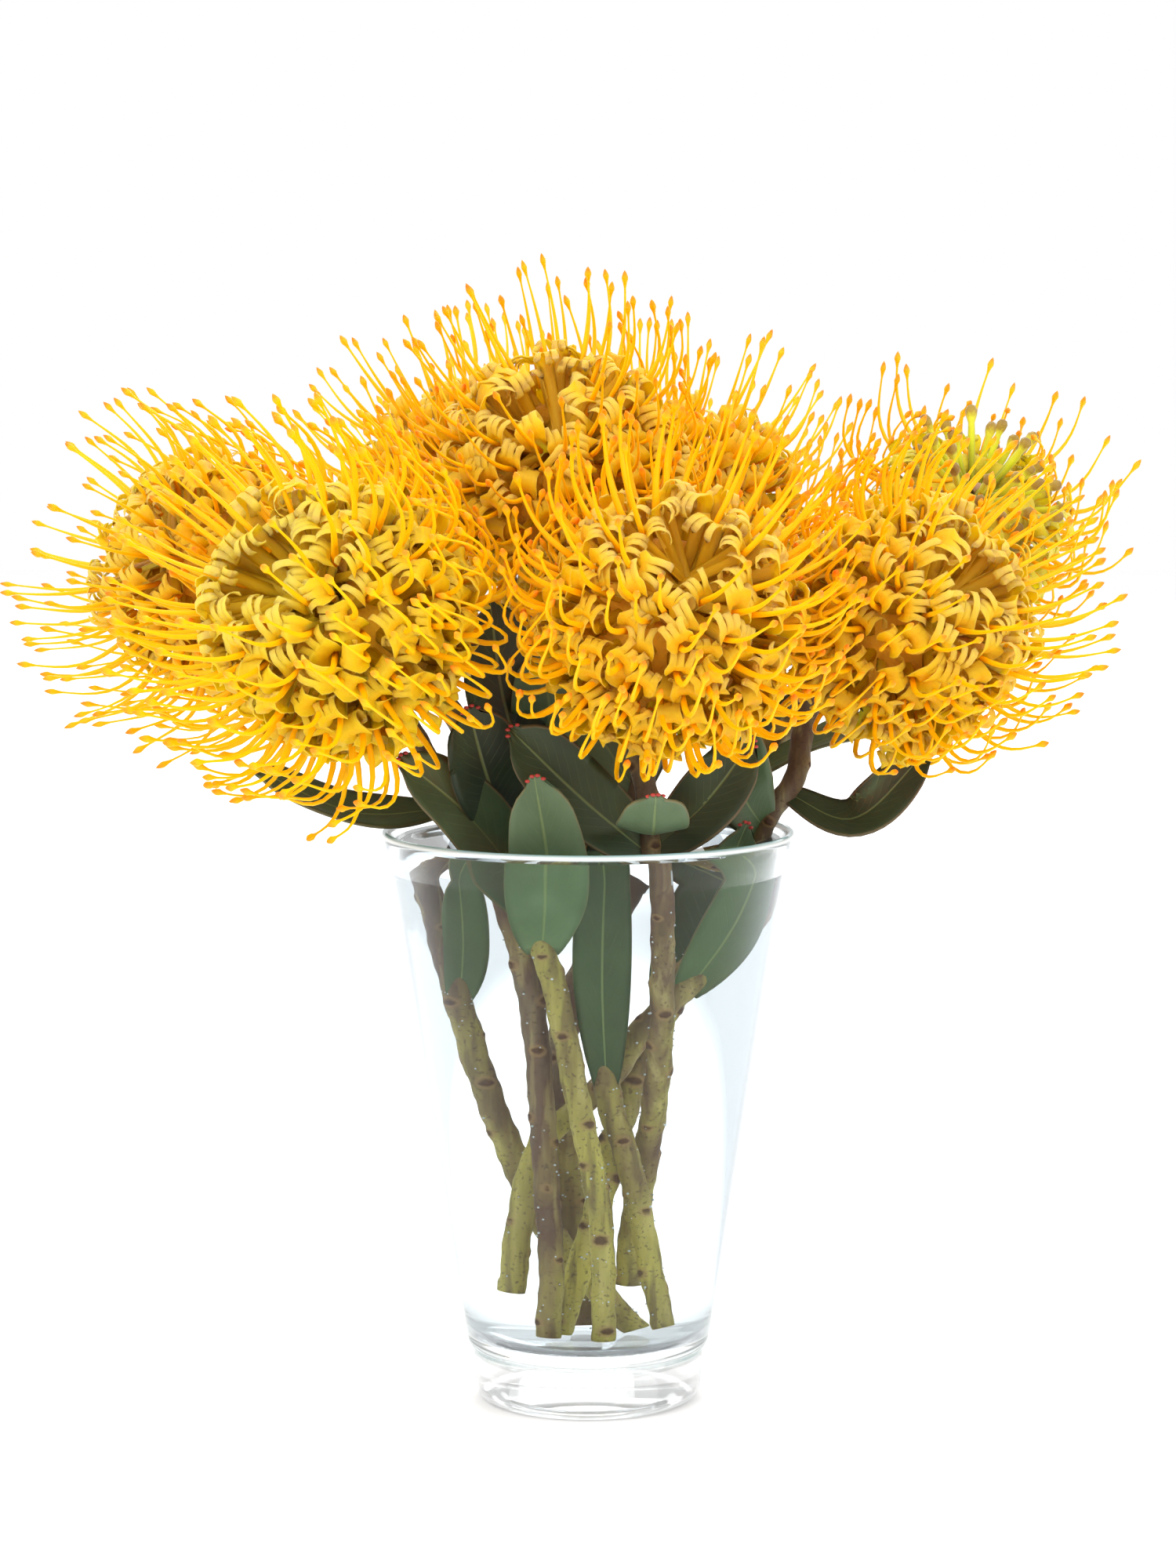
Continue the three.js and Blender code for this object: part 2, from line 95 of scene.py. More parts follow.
# each flower's head centre, the way it faces, its radius, and its cut stem from the foot up; a leaf is
# the height where it leaves the stem, a point it passes, its tip, its width and its upper side's facing
flowers = {
    "front_centre": {
        "look": "golden", "centre": (23, -55, 247), "faces": (0.2, -0.7, 0.68), "radius": 38, "girth": 1,
        "stem": [(8.5, 16, 38), (10.4, 10, 60), (13, 3, 78), (16, -5, 97), (18.5, -14, 120),
                 (19.5, -22, 145), (19.5, -28, 168), (17.5, -28, 195)],
        "leaves": [
            (174, (-1, -37, 193), (-24, -42, 216), 23, (0.3, -1, 0.35)),
            (183, (19.5, -52, 186), (20, -68, 198.5), 22, (0, -0.5, 1)),
            (176, (36, -36, 193), (50, -38, 212), 20, (-0.2, -1, 0.3)),
        ],
    },
    "front_left": {
        "look": "lemon", "centre": (-72, -51, 248), "faces": (-0.55, -0.65, 0.5), "radius": 40,
        "girth": 0.96, "droop": 0.25,
        "stem": [(4, -14, 22), (4, -15, 45), (3, -15, 65), (0.4, -15, 83), (-3, -14.5, 103),
                 (-6, -14, 122), (-10, -14.5, 143), (-19, -19, 168), (-29, -21, 194)],
        "leaves": [
            (147, (-12, -41, 175), (-16, -53, 203), 24, (0, -1, 0.2)),
            (158, (-35, -34, 187), (-57, -49, 208), 23, (0.2, -0.9, 0.5)),
            (182, (-31, -33, 202), (-36, -38, 222), 26, (0.3, -0.9, 0.3)),
        ],
    },
    "right": {
        "look": "golden", "centre": (96, -15, 244), "faces": (0.55, -0.62, 0.5), "radius": 37,
        "girth": 0.88,
        "stem": [(-17, 6, 36), (-15.5, 4, 58), (-10.5, 4, 84), (4, 6, 104), (13.2, 6, 122),
                 (28, 7, 140), (42, 7, 158), (52, 6.8, 172), (56.2, 6, 183), (64, 5.5, 194)],
        "leaves": [
            (190, (82, 0, 183), (107, -5, 207), 16, (0.1, -0.75, 0.7)),
            (180, (47, -14, 196), (46, -24, 218), 20, (0, -1, 0.3)),
            (132, (39, -6, 160), (49, -14, 184), 18, (0.4, -1, 0.2)),
        ],
    },
    "back_centre": {
        "look": "golden", "centre": (-7, 20, 286), "faces": (-0.2, -0.6, 0.78), "radius": 38,
        "stem": [(-10, -8, 22), (-9, -8, 45), (-10, -7, 70), (-11, -6, 95), (-12.5, -6, 120),
                 (-16, -7, 145), (-21, -8, 168), (-18, 2, 196), (-9, 20, 225)],
        "leaves": [
            (196, (-26, -10, 222), (-30, -14, 253), 25, (0.3, -0.9, 0.2)),
            (204, (-12, -6, 217), (-14, -13, 237), 23, (-0.1, -1, 0.3)),
        ],
    },
    "left": {
        "look": "golden", "centre": (-116, 18, 258), "faces": (-0.85, -0.2, 0.4), "radius": 35,
        "droop": 0.3,
        "stem": [(10.5, 10, 22), (0, 13, 40), (-9, 14, 57), (-15, 13, 76), (-21, 12, 97),
                 (-27, 11, 122), (-32, 10, 145), (-37, 10, 168), (-46, 12, 192)],
        "leaves": [
            (184, (-72, 0, 185), (-104, -8, 200), 17, (0.1, -0.5, 0.85)),
            (127, (-29, 3, 149), (-32, -8, 172), 13, (0.2, -1, 0.2)),
            (192, (-58, 32, 206), (-72, 44, 224), 20, (0.4, 0.5, 0.8)),
        ],
    },
    "back_right": {
        "look": "limeGold", "centre": (121, 45, 274), "faces": (0.25, -0.45, 0.85), "radius": 31,
        "closedWithin": 66, "stretch": 1.25,
        "stem": [(-7, 2, 22), (-3, 2, 40), (2, 3, 62), (6, 8, 85), (10, 12, 104),
                 (16, 17, 125), (24, 22, 145), (33, 27, 165), (42, 31, 184), (62, 39, 206)],
        "leaves": [
            (190, (74, 24, 205), (97, 20, 212), 18, (0, -0.4, 1)),
            (184, (56, 52, 200), (70, 66, 218), 21, (0.3, 0.4, 0.9)),
            (126, (22, 30, 150), (28, 40, 176), 16, (-0.3, -1, 0.3)),
        ],
    },
    "far_right": {
        "look": "golden", "centre": (32, 86, 271), "faces": (0.2, 0.35, 0.88), "radius": 36,
        "stem": [(0, 20, 23), (-1.5, 23, 40), (-2.7, 22, 58), (-4.5, 20.5, 83), (-6, 19, 108),
                 (-3, 22, 130), (4, 28, 152), (12, 34, 172), (18, 46, 196)],
        "leaves": [
            (178, (20, 58, 194), (28, 76, 210), 22, (-0.2, 0.4, 0.9)),
            (186, (4, 52, 204), (-4, 62, 222), 20, (-0.3, -0.8, 0.5)),
        ],
    },
    "far_left": {
        "look": "golden", "centre": (-40, 88, 280), "faces": (-0.4, 0.35, 0.85), "radius": 34,
        "stem": [(20, -12, 26), (16, -10, 45), (11, -8, 75), (5, -4.5, 100), (2, 0, 125),
                 (0, 6, 150), (0, 14, 172), (-6, 32, 196), (-16, 54, 221)],
        "leaves": [
            (103, (3.5, -13, 142), (5, -25, 188), 15, (0, -1, 0.1)),
            (176, (-14, 34, 192), (-26, 52, 212), 21, (0.4, 0.6, 0.7)),
            (196, (-24, 54, 214), (-42, 66, 232), 20, (0.4, 0.4, 0.9)),
        ],
    },
}


# ---- making meshes ----

def newMesh():
    bm = bmesh.new()
    for name in ("along", "across", "tone"):
        bm.verts.layers.float.new(name)
    return bm


def layerOf(bm, name):
    return bm.verts.layers.float[name]


def toMesh(bm, name):
    mesh = bpy.data.meshes.new(name)
    bm.to_mesh(mesh)
    bm.free()
    return mesh


def finishPiece(name, bm, coats, node):
    bmesh.ops.scale(bm, vec=(mm, mm, mm), verts=bm.verts[:])
    mesh = toMesh(bm, name)
    mesh.polygons.foreach_set("use_smooth", [True] * len(mesh.polygons))
    for coat in coats:
        mesh.materials.append(coat)
    piece = bpy.data.objects.new(name, mesh)
    bpy.context.scene.collection.objects.link(piece)
    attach(piece, "root")
    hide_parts(node)
    print(f"  {name}: {len(mesh.polygons)} faces")
    return piece


def turned(bm, profile, sides):
    # a closed body about Z, from (radius, height) points that start and end on the axis
    before = set(bm.verts)
    rim = [bm.verts.new((r, 0, z)) for r, z in profile]
    wire = [bm.edges.new(pair) for pair in zip(rim, rim[1:])]
    bmesh.ops.spin(bm, geom=rim + wire, axis=(0, 0, 1), cent=(0, 0, 0),
                   angle=tau, steps=sides, use_merge=True)
    fresh = [v for v in bm.verts if v not in before]
    bmesh.ops.remove_doubles(bm, verts=fresh, dist=1e-4)
    fresh = [v for v in bm.verts if v not in before]
    faces = list({f for v in fresh for f in v.link_faces})
    bmesh.ops.recalc_face_normals(bm, faces=faces)
    return fresh


def stamp(bm, part, place, tone):
    first = len(bm.verts)
    bm.from_mesh(part)
    bm.verts.ensure_lookup_table()
    fresh = bm.verts[first:]
    bmesh.ops.transform(bm, matrix=place, verts=fresh)
    toneLayer = layerOf(bm, "tone")
    for v in fresh:
        v[toneLayer] = tone
    return fresh


class Route:
    # a smooth line through a few points, read by the share of its length
    def __init__(self, points, smooth=True):
        knots = [Vector(p) for p in points]
        line = knots
        if smooth:
            knots = [knots[0] * 2 - knots[1], *knots, knots[-1] * 2 - knots[-2]]
            line = []
            for a, b, c, d in zip(knots, knots[1:], knots[2:], knots[3:]):
                s0, s1, s2 = ((q - p).length ** 0.5 for p, q in ((a, b), (b, c), (c, d)))
                leave = ((b - a) / s0 - (c - a) / (s0 + s1) + (c - b) / s1) * s1
                arrive = ((c - b) / s1 - (d - b) / (s1 + s2) + (d - c) / s2) * s1
                line += interpolate_bezier(b, b + leave / 3, c - arrive / 3, c, 16)[:-1]
            line.append(knots[-2])
        self.line = line
        self.marks = [0]
        for p, q in zip(line, line[1:]):
            self.marks.append(self.marks[-1] + (q - p).length)
        self.length = self.marks[-1]

    def at(self, share):
        reach = min(max(share, 0), 1) * self.length
        i = 0
        while i < len(self.marks) - 2 and self.marks[i + 1] < reach:
            i += 1
        p, q = self.line[i], self.line[i + 1]
        t = (reach - self.marks[i]) / max(self.marks[i + 1] - self.marks[i], 1e-9)
        before = self.line[max(i - 1, 0)]
        after = self.line[min(i + 2, len(self.line) - 1)]
        tangent = (q - before).normalized().lerp((after - p).normalized(), t)
        return p.lerp(q, t), tangent.normalized()

    def shareAtHeight(self, z):
        for p, mark in zip(self.line, self.marks):
            if p.z >= z:
                return mark / self.length
        return 1


def bendAlong(verts, route, facing):
    # x goes across, y to the side that faces, and z, from 0 to 1, along the route
    stations = {}
    for v in verts:
        key = round(v.co.z, 5)
        if key not in stations:
            place, tangent = route.at(key)
            side = tangent.cross(facing).normalized()
            stations[key] = (place, side, side.cross(tangent))
        place, side, front = stations[key]
        v.co = place + side * v.co.x + front * v.co.y


# ---- shader maths ----

class Wire:
    # a socket that can stand in a sum
    def __init__(self, coat, socket):
        self.coat = coat
        self.socket = socket

    def sum(self, operation, a, b):
        return self.coat.node("ShaderNodeMath", {"operation": operation}, {0: a, 1: b})

    def __add__(self, other):
        return self.sum("ADD", self, other)

    def __radd__(self, other):
        return self.sum("ADD", other, self)

    def __sub__(self, other):
        return self.sum("SUBTRACT", self, other)

    def __rsub__(self, other):
        return self.sum("SUBTRACT", other, self)

    def __mul__(self, other):
        return self.sum("MULTIPLY", self, other)

    def __rmul__(self, other):
        return self.sum("MULTIPLY", other, self)

    def __truediv__(self, other):
        return self.sum("DIVIDE", self, other)

    def size(self):
        return self.sum("ABSOLUTE", self, 0)


def tint(text):
    # a hex colour as it looks on the screen, made linear
    parts = [int(text[i:i + 2], 16) / 255 for i in (1, 3, 5)]
    return tuple(c / 12.92 if c < 0.04045 else ((c + 0.055) / 1.055) ** 2.4 for c in parts) + (1,)


class Coat:
    # one material, whose nodes are added by expressions
    def __init__(self, name, **plain):
        self.material = bpy.data.materials.new(name)
        self.material.use_nodes = True
        self.tree = self.material.node_tree
        self.shader = self.tree.nodes["Principled BSDF"]
        for socket, value in plain.items():
            self.shader.inputs[socket.replace("_", " ")].default_value = value

    def node(self, kind, settings=None, values=None, output=0):
        made = self.tree.nodes.new(kind)
        for setting, value in (settings or {}).items():
            if setting == "stops":
                ramp = made.color_ramp
                while len(ramp.elements) < len(value):
                    ramp.elements.new(0.5)
                for element, (position, colour) in zip(ramp.elements, value):
                    element.position = position
                    element.color = tint(colour)
            else:
                setattr(made, setting, value)
        for key, value in (values or {}).items():
            socket = made.inputs[key]
            if isinstance(value, Wire):
                self.tree.links.new(value.socket, socket)
            else:
                socket.default_value = value
        return Wire(self, made.outputs[output])

    def attribute(self, name):
        return self.node("ShaderNodeAttribute", {"attribute_name": name}, output="Fac")

    def objectPoint(self):
        return self.node("ShaderNodeTexCoord", output="Object")

    def noise(self, scale, detail=3, at=None, stretch=None):
        point = at or self.objectPoint()
        if stretch:
            point = self.node("ShaderNodeMapping", None, {"Vector": point, "Scale": stretch})
        return self.node("ShaderNodeTexNoise", None, {"Vector": point, "Scale": scale, "Detail": detail})

    def joined(self, x, y, z):
        return self.node("ShaderNodeCombineXYZ", None, {0: x, 1: y, 2: z})

    def times(self, colour, factor):
        return self.node("ShaderNodeVectorMath", {"operation": "SCALE"}, {0: colour, 3: factor})

    def height(self):
        return self.node("ShaderNodeSeparateXYZ", None, {0: self.objectPoint()}, output="Z") / mm

    def underWater(self):
        return 1 - self.smoothStep(self.height(), vaseShape["water"] - 2, vaseShape["water"] + 0.5)

    def ramp(self, value, stops):
        return self.node("ShaderNodeValToRGB", {"stops": stops}, {0: value})

    def blend(self, share, a, b):
        return self.node("ShaderNodeMix", {"data_type": "RGBA"}, {0: share, 6: a, 7: b}, output=2)

    def smoothStep(self, value, low, high):
        return self.node("ShaderNodeMapRange", {"interpolation_type": "SMOOTHSTEP"},
                         {0: value, 1: low, 2: high})

    def bump(self, height, strength, distance):
        return self.node("ShaderNodeBump", None,
                         {"Height": height, "Strength": strength, "Distance": distance * mm})

    def over(self, share, colour, roughness):
        # a second, solid shader laid over the first one
        second = self.tree.nodes.new("ShaderNodeBsdfPrincipled")
        second.inputs["Roughness"].default_value = roughness
        self.tree.links.new(colour.socket, second.inputs["Base Color"])
        mixed = self.node("ShaderNodeMixShader", None, {0: share})
        mixer = mixed.socket.node
        self.tree.links.new(self.shader.outputs[0], mixer.inputs[1])
        self.tree.links.new(second.outputs[0], mixer.inputs[2])
        self.tree.links.new(mixed.socket, self.tree.nodes["Material Output"].inputs["Surface"])
        return self.material

    def feed(self, **wires):
        for socket, wire in wires.items():
            self.tree.links.new(wire.socket, self.shader.inputs[socket.replace("_", " ")])
        return self.material


# ---- vase ----

vaseShape = {
    "height": 180, "wallFoot": 37.4, "footHeight": 16, "taper": 0.157, "wall": 2.8,
    "lip": 1.4, "floor": 20, "water": 176, "sides": 128,
    "overlap": 0.25,     # how far the water reaches into the glass, so that light finds no air between
    "foot": [            # radius, height and rounding of each corner, from the middle out and up
        (0, 1.2, 0), (27.5, 1.2, 1.5), (29.5, 0, 1.2),
        (35.3, 0.3, 5.5), (36.1, 14.2, 1.2), (35.7, 15.4, 0.6),
    ],
}


def wallRadius(z):
    return vaseShape["wallFoot"] + vaseShape["taper"] * (z - vaseShape["footHeight"])


def rounded(profile):
    # (radius, height, rounding) corners made into a smooth outline
    outline = []
    for i, (r, z, rounding) in enumerate(profile):
        corner = Vector((r, z, 0))
        if not rounding:
            outline.append((r, z))
            continue
        sides = [Vector((*profile[j][:2], 0)) - corner for j in (i - 1, i + 1)]
        start, end = (corner + side.normalized() * min(rounding, side.length * 0.48) for side in sides)
        arc = interpolate_bezier(start, start.lerp(corner, 0.6), end.lerp(corner, 0.6), end, 8)
        outline += [(point.x, point.y) for point in arc]
    return outline


def innerCorners(top, sink):
    # the cavity from the top down to the axis, moved out and down by a sink
    floor = vaseShape["floor"]
    wall = vaseShape["wall"] - sink
    return [
        (wallRadius(top) - wall, top, 0),
        (wallRadius(floor) - wall + 0.5, floor - sink, 13),
        (0, floor - sink - 0.6, 0),
    ]


def makeVase():
    high, lip = vaseShape["height"], vaseShape["lip"]
    corners = [
        *vaseShape["foot"],
        (wallRadius(18) + 0.1, 18, 2.2),
        (wallRadius(high - 12), high - 12, 8),
        (wallRadius(high) + lip, high - 1.2, 1.6),
        (wallRadius(high) + lip - 1.4, high + 0.1, 1.0),
        (wallRadius(high) + lip - 2.6, high - 0.8, 1.2),
        (wallRadius(high - 12) - vaseShape["wall"], high - 12, 8),
        *innerCorners(high - 30, 0),
    ]
    bm = newMesh()
    turned(bm, rounded(corners), vaseShape["sides"])
    inside = layerOf(bm, "across")
    for v in bm.verts:
        middle = wallRadius(v.co.z) - vaseShape["wall"] / 2
        v[inside] = v.co.z > vaseShape["floor"] - 1 and v.co.xy.length < middle
    finishPiece("vase_glass", bm, [makeGlass()], "vase")


def makeGlass():
    coat = Coat("clearGlass", Roughness=0.0, IOR=1.48, Transmission_Weight=1.0,
                Specular_Tint=(0.25, 0.25, 0.25, 1))
    haze = coat.noise(14, 2)
    height = coat.height()
    grazing = coat.node("ShaderNodeLayerWeight", None, {"Blend": 0.5}, output="Facing")
    edge = coat.smoothStep(grazing, 0.75, 1.0)
    # painted shade: the base colour turns grey where the glass is seen edge-on
    colour = coat.blend(edge * 0.7, tint("#fbfefe"), tint("#a3b8c0"))
    top, foot = vaseShape["height"], vaseShape["footHeight"]
    solid = coat.smoothStep(height, foot - 1, foot + 2)
    coat.feed(Base_Color=colour, Roughness=haze * 0.02, Alpha=0.45 + solid * 0.55)
    # painted light laid over the glass as a second, solid shader: a painted highlight on the fire-polished
    # rim, and painted grey shade where the glass is seen along its surface, in the foot's groove, round the
    # inner floor's edge, along the foot's lower edge and down the walls' outlines
    side = coat.smoothStep(grazing, 0.35, 0.95)
    # where the painted highlight lies along the rim
    lip = coat.smoothStep(height, top - 2.2, top - 1.4)
    # painted shade in the groove above the foot
    grooveShade = coat.smoothStep(height, foot - 2, foot - 0.6) - coat.smoothStep(height, foot + 0.8, foot + 2)
    # painted shade round the inner floor's edge, on the inner surface seen edge-on
    ring = coat.smoothStep(height, 21, 23) - coat.smoothStep(height, 25, 31)
    # painted grey shade along the foot's lower edge, where it is seen edge-on
    below = coat.smoothStep(height, 1.5, 4) * (1 - coat.smoothStep(height, foot - 3, foot - 1))
    share = lip * 0.8 + grooveShade * (0.2 + side * 0.6) + ring * coat.attribute("across") * edge * 0.35
    # painted grey shade down the walls' outlines, where they are seen edge-on
    outline = coat.smoothStep(grazing, 0.78, 0.95)
    share = share + side * solid * 0.34 + outline * solid * 0.4 + edge * below * 0.6
    # the colours of the painted shade up the vase, and of the painted highlight and its teal upper edge on
    # the rim
    paintedShadeAndHighlight = coat.ramp(height / 200 + (haze - 0.5) * 0.002,
                      [(0.0, "#c3ced6"), (0.065, "#c3ced6"), (0.074, "#86a09e"), (0.089, "#86a09e"),
                       (0.11, "#9db0b2"), (0.2, "#a3b5c2"), (0.88, "#a3b5c2"), (0.892, "#e3eeef"),
                       (0.8955, "#f6fbfb"), (0.8975, "#8db8c0")])
    return coat.over(share, paintedShadeAndHighlight, 0.15)


def makeWater():
    level = vaseShape["water"]
    rim = wallRadius(level) - vaseShape["wall"] + vaseShape["overlap"]
    corners = [(0, level, 0), (rim - 5, level, 3), (rim, level + 0.9, 0),
               *innerCorners(level - 6, vaseShape["overlap"])]
    bm = newMesh()
    turned(bm, rounded(corners), vaseShape["sides"])
    coat = Coat("stillWater", Base_Color=tint("#f0f5fa"), Roughness=0.0, IOR=1.33,
                Transmission_Weight=1.0, Specular_Tint=(0.2, 0.2, 0.2, 1))
    # the surface ripples a little, the sides are as smooth as the glass
    height = coat.height()
    ripple = coat.noise(60, 1) * coat.smoothStep(height, level - 1, level - 0.2)
    normal = coat.bump(ripple, 0.04, 0.4)
    finishPiece("water_body", bm, [coat.feed(Normal=normal)], "water")


# ---- stems and leaves ----

stalkShape = {
    "foot": 3.2, "neck": 3.6, "ring": 1.4, "sides": 16,
    "scarGap": (5, 13), "scarSize": (1.0, 1.9), "scarSwell": 0.55,
    "bubbles": 90, "bubble": (0.14, 0.38), "level": 172,
}
leafShape = {
    "fold": 0.22, "thick": 0.9, "wave": 0.7, "columns": 8, "rows": 20,
    "bladeEnd": 0.955,   # the rounded tip goes on from here, as a share of the length
    "scallop": 0.012,
    "bulge": 0.045,
    "tooth": 0.7,        # radius of a red tooth, and where the teeth stand across the tip
    "teeth": (-0.8, -0.28, 0.28, 0.8),
}
headShape = {
    "square": 2.6,       # how boxy its outline is: at 2 it is a ball
    "scale": 0.96,       # how far it reaches on its axis and at its sides, in head radii
    "flatRow": radians(162),     # its base is flat inside this angle, where the stem meets it
    "below": 16,         # how far down the stem is straight
}


def headReach(polar):
    # how far a head reaches at an angle from its axis, in head radii: boxy, and drawn in towards the stem
    n = headShape["square"]
    full = headShape["scale"] * (abs(sin(polar)) ** n + abs(cos(polar)) ** n) ** (-1 / n)
    lowered = min(max((polar - radians(110)) / radians(55), 0), 1)
    return full - 0.16 * lowered * lowered * (3 - 2 * lowered)


def stemRoute(flower):
    axis = Vector(flower["faces"]).normalized()
    seat = headReach(headShape["flatRow"]) * -cos(headShape["flatRow"])
    top = Vector(flower["centre"]) - axis * (flower["radius"] * seat)
    return Route([*flower["stem"], top - axis * headShape["below"], top])


def makeBark():
    coat = Coat("bark", Specular_IOR_Level=0.3)
    along = coat.attribute("along")
    scar = coat.attribute("across")
    tone = coat.attribute("tone")
    blotch = coat.noise(70, 4, stretch=(1, 1, 0.45))
    streak = coat.noise(260, 3, stretch=(1, 1, 0.1))
    speck = coat.noise(900, 2)
    wood = coat.ramp(along * 0.5 + (blotch - 0.5) * 1.1 + tone * 0.2 + 0.22,
                     [(0.0, "#a39a48"), (0.26, "#8c8242"), (0.42, "#77673f"), (0.58, "#5c4636"),
                      (0.78, "#6f634c"), (1.0, "#6d5f45")])
    streaked = coat.blend(coat.smoothStep(streak, 0.48, 0.64) * 0.6, wood, tint("#53402f"))
    lit = coat.blend(coat.smoothStep(1 - streak, 0.52, 0.7) * 0.3, streaked, tint("#b8ac70"))
    speckled = coat.blend(coat.smoothStep(speck, 0.56, 0.7) * 0.6, lit, tint("#4a382c"))
    ringed = coat.blend(coat.smoothStep(scar, 0.12, 0.4) * 0.5, speckled, tint("#8c7048"))
    scarred = coat.blend(coat.smoothStep(scar, 0.4, 0.75) * 0.85, ringed, tint("#43291c"))
    height = blotch * 0.8 + streak + speck * 0.3 - coat.smoothStep(scar, 0.5, 0.9)
    # painted light: under water the colour is doubled, making up for the light that the glass and water
    # hold back
    lightenedUnderWater = coat.times(scarred, 1 + coat.underWater())
    return coat.feed(Base_Color=lightenedUnderWater, Roughness=0.5 + blotch * 0.3, Normal=coat.bump(height, 0.7, 0.5))


def makeBubbleCoat():
    coat = Coat("airBubble", IOR=1.33)
    cloud = coat.noise(200, 1)
    white = coat.ramp(cloud, [(0.3, "#dfe8e6"), (0.7, "#f6fafa")])
    return coat.feed(Base_Color=white, Roughness=0.1 + cloud * 0.1)


def makeLeafCoat():
    coat = Coat("leafBlade", Specular_IOR_Level=0.4, Subsurface_Weight=0.05, Subsurface_Scale=0.002)
    along = coat.attribute("along")
    across = coat.attribute("across")
    tone = coat.attribute("tone")
    side = across.size()
    cloud = coat.noise(40, 4)
    blade = coat.ramp(cloud * 0.6 + tone * 0.35 + 0.2,
                      [(0.1, "#222c1b"), (0.4, "#37462c"), (0.65, "#4a5e3c"), (1.0, "#6c8060")])
    wave = coat.node("ShaderNodeMath", {"operation": "SINE"}, {0: (along * 9 - side * 2.6) * 9})
    vein = coat.smoothStep(wave, 0.86, 1.0) * coat.smoothStep(side, 0.06, 0.2) * (1 - side)
    rib = 1 - coat.smoothStep(side, 0.015, 0.06)
    edge = coat.smoothStep(side, 0.96, 1.0)
    veined = coat.blend(vein * 0.12, blade, tint("#7f8f62"))
    ribbed = coat.blend(rib * 0.4, veined, tint("#8a9a5c"))
    edged = coat.blend(edge * 0.3, ribbed, tint("#8c6a4c"))
    mottle = coat.noise(900, 2)
    height = mottle * 0.1 - rib * 0.7 - vein * 0.25 + cloud * 0.4
    # under water the colour is blended a little towards green and raised up to 2.15 times: the raising is
    # painted light, making up for the light that the glass and water hold back
    submerged = coat.underWater()
    lightenedUnderWater = coat.times(coat.blend(submerged * 0.2, edged, tint("#4c7030")), 1 + submerged * 1.15)
    return coat.feed(Base_Color=lightenedUnderWater, Roughness=0.42 + cloud * 0.25, Normal=coat.bump(height, 0.4, 0.5))


def makeToothCoat():
    coat = Coat("leafTooth", Roughness=0.45)
    grain = coat.noise(300, 2)
    return coat.feed(Base_Color=coat.ramp(grain, [(0.2, "#8e1f1c"), (0.8, "#c4423a")]))


def leafHalfWidth(t):
    # as a share of the widest: a narrow base, the widest part past the middle, a blunt round tip
    body = 0.26 + 0.74 * sin(pi * (0.02 + 0.86 * t)) ** 0.8
    close = max((t - 0.84) / 0.16, 0)
    return body * sqrt(max(1 - 0.82 * close ** 2.4, 0))


def addLeaf(bm, route, width, facing, draw):
    part = newMesh()
    along, across, tone = (layerOf(part, name) for name in ("along", "across", "tone"))
    bmesh.ops.create_grid(part, x_segments=leafShape["columns"], y_segments=leafShape["rows"], size=0.5)
    shade = draw.uniform(-1, 1)
    phase = draw.uniform(0, tau)
    for v in part.verts:
        t = v.co.y + 0.5
        share = v.co.x * 2
        v[along], v[across], v[tone] = t, share, shade
        aside = width / 2 * leafHalfWidth(t)
        ripple = leafShape["wave"] * sin(t * 9 + phase + (2 if share > 0 else 0)) * abs(share) ** 2
        rise = abs(share) ** 1.4 * aside * leafShape["fold"] + ripple
        reach = t * leafShape["bladeEnd"]
        if t > 0.99:
            reach += leafShape["scallop"] * cos(share * pi * 3.5)
            reach += leafShape["bulge"] * (1 - share * share) ** 0.5
        v.co = Vector((share * aside, rise, reach))
    bendAlong(part.verts, route, facing)
    bmesh.ops.solidify(part, geom=part.faces[:], thickness=leafShape["thick"])
    bmesh.ops.recalc_face_normals(part, faces=part.faces[:])
    place, tangent = route.at(0.985)
    side = tangent.cross(facing).normalized()
    tipWidth = width / 2 * leafHalfWidth(1)
    for share in leafShape["teeth"]:
        back = tangent * (leafShape["tooth"] * (1 - 3 * share * share))
        lift = side.cross(tangent) * (abs(share) * tipWidth * leafShape["fold"])
        spot = place + side * (share * tipWidth) + back + lift
        knob = bmesh.ops.create_uvsphere(part, u_segments=8, v_segments=5, radius=leafShape["tooth"])
        for v in knob["verts"]:
            v.co = Vector((v.co.x * 1.2, v.co.y * 0.8, v.co.z * 0.8)) + spot
        for face in {f for v in knob["verts"] for f in v.link_faces}:
            face.material_index = 1
    mesh = toMesh(part, "leaf")
    bm.from_mesh(mesh)
    bpy.data.meshes.remove(mesh)


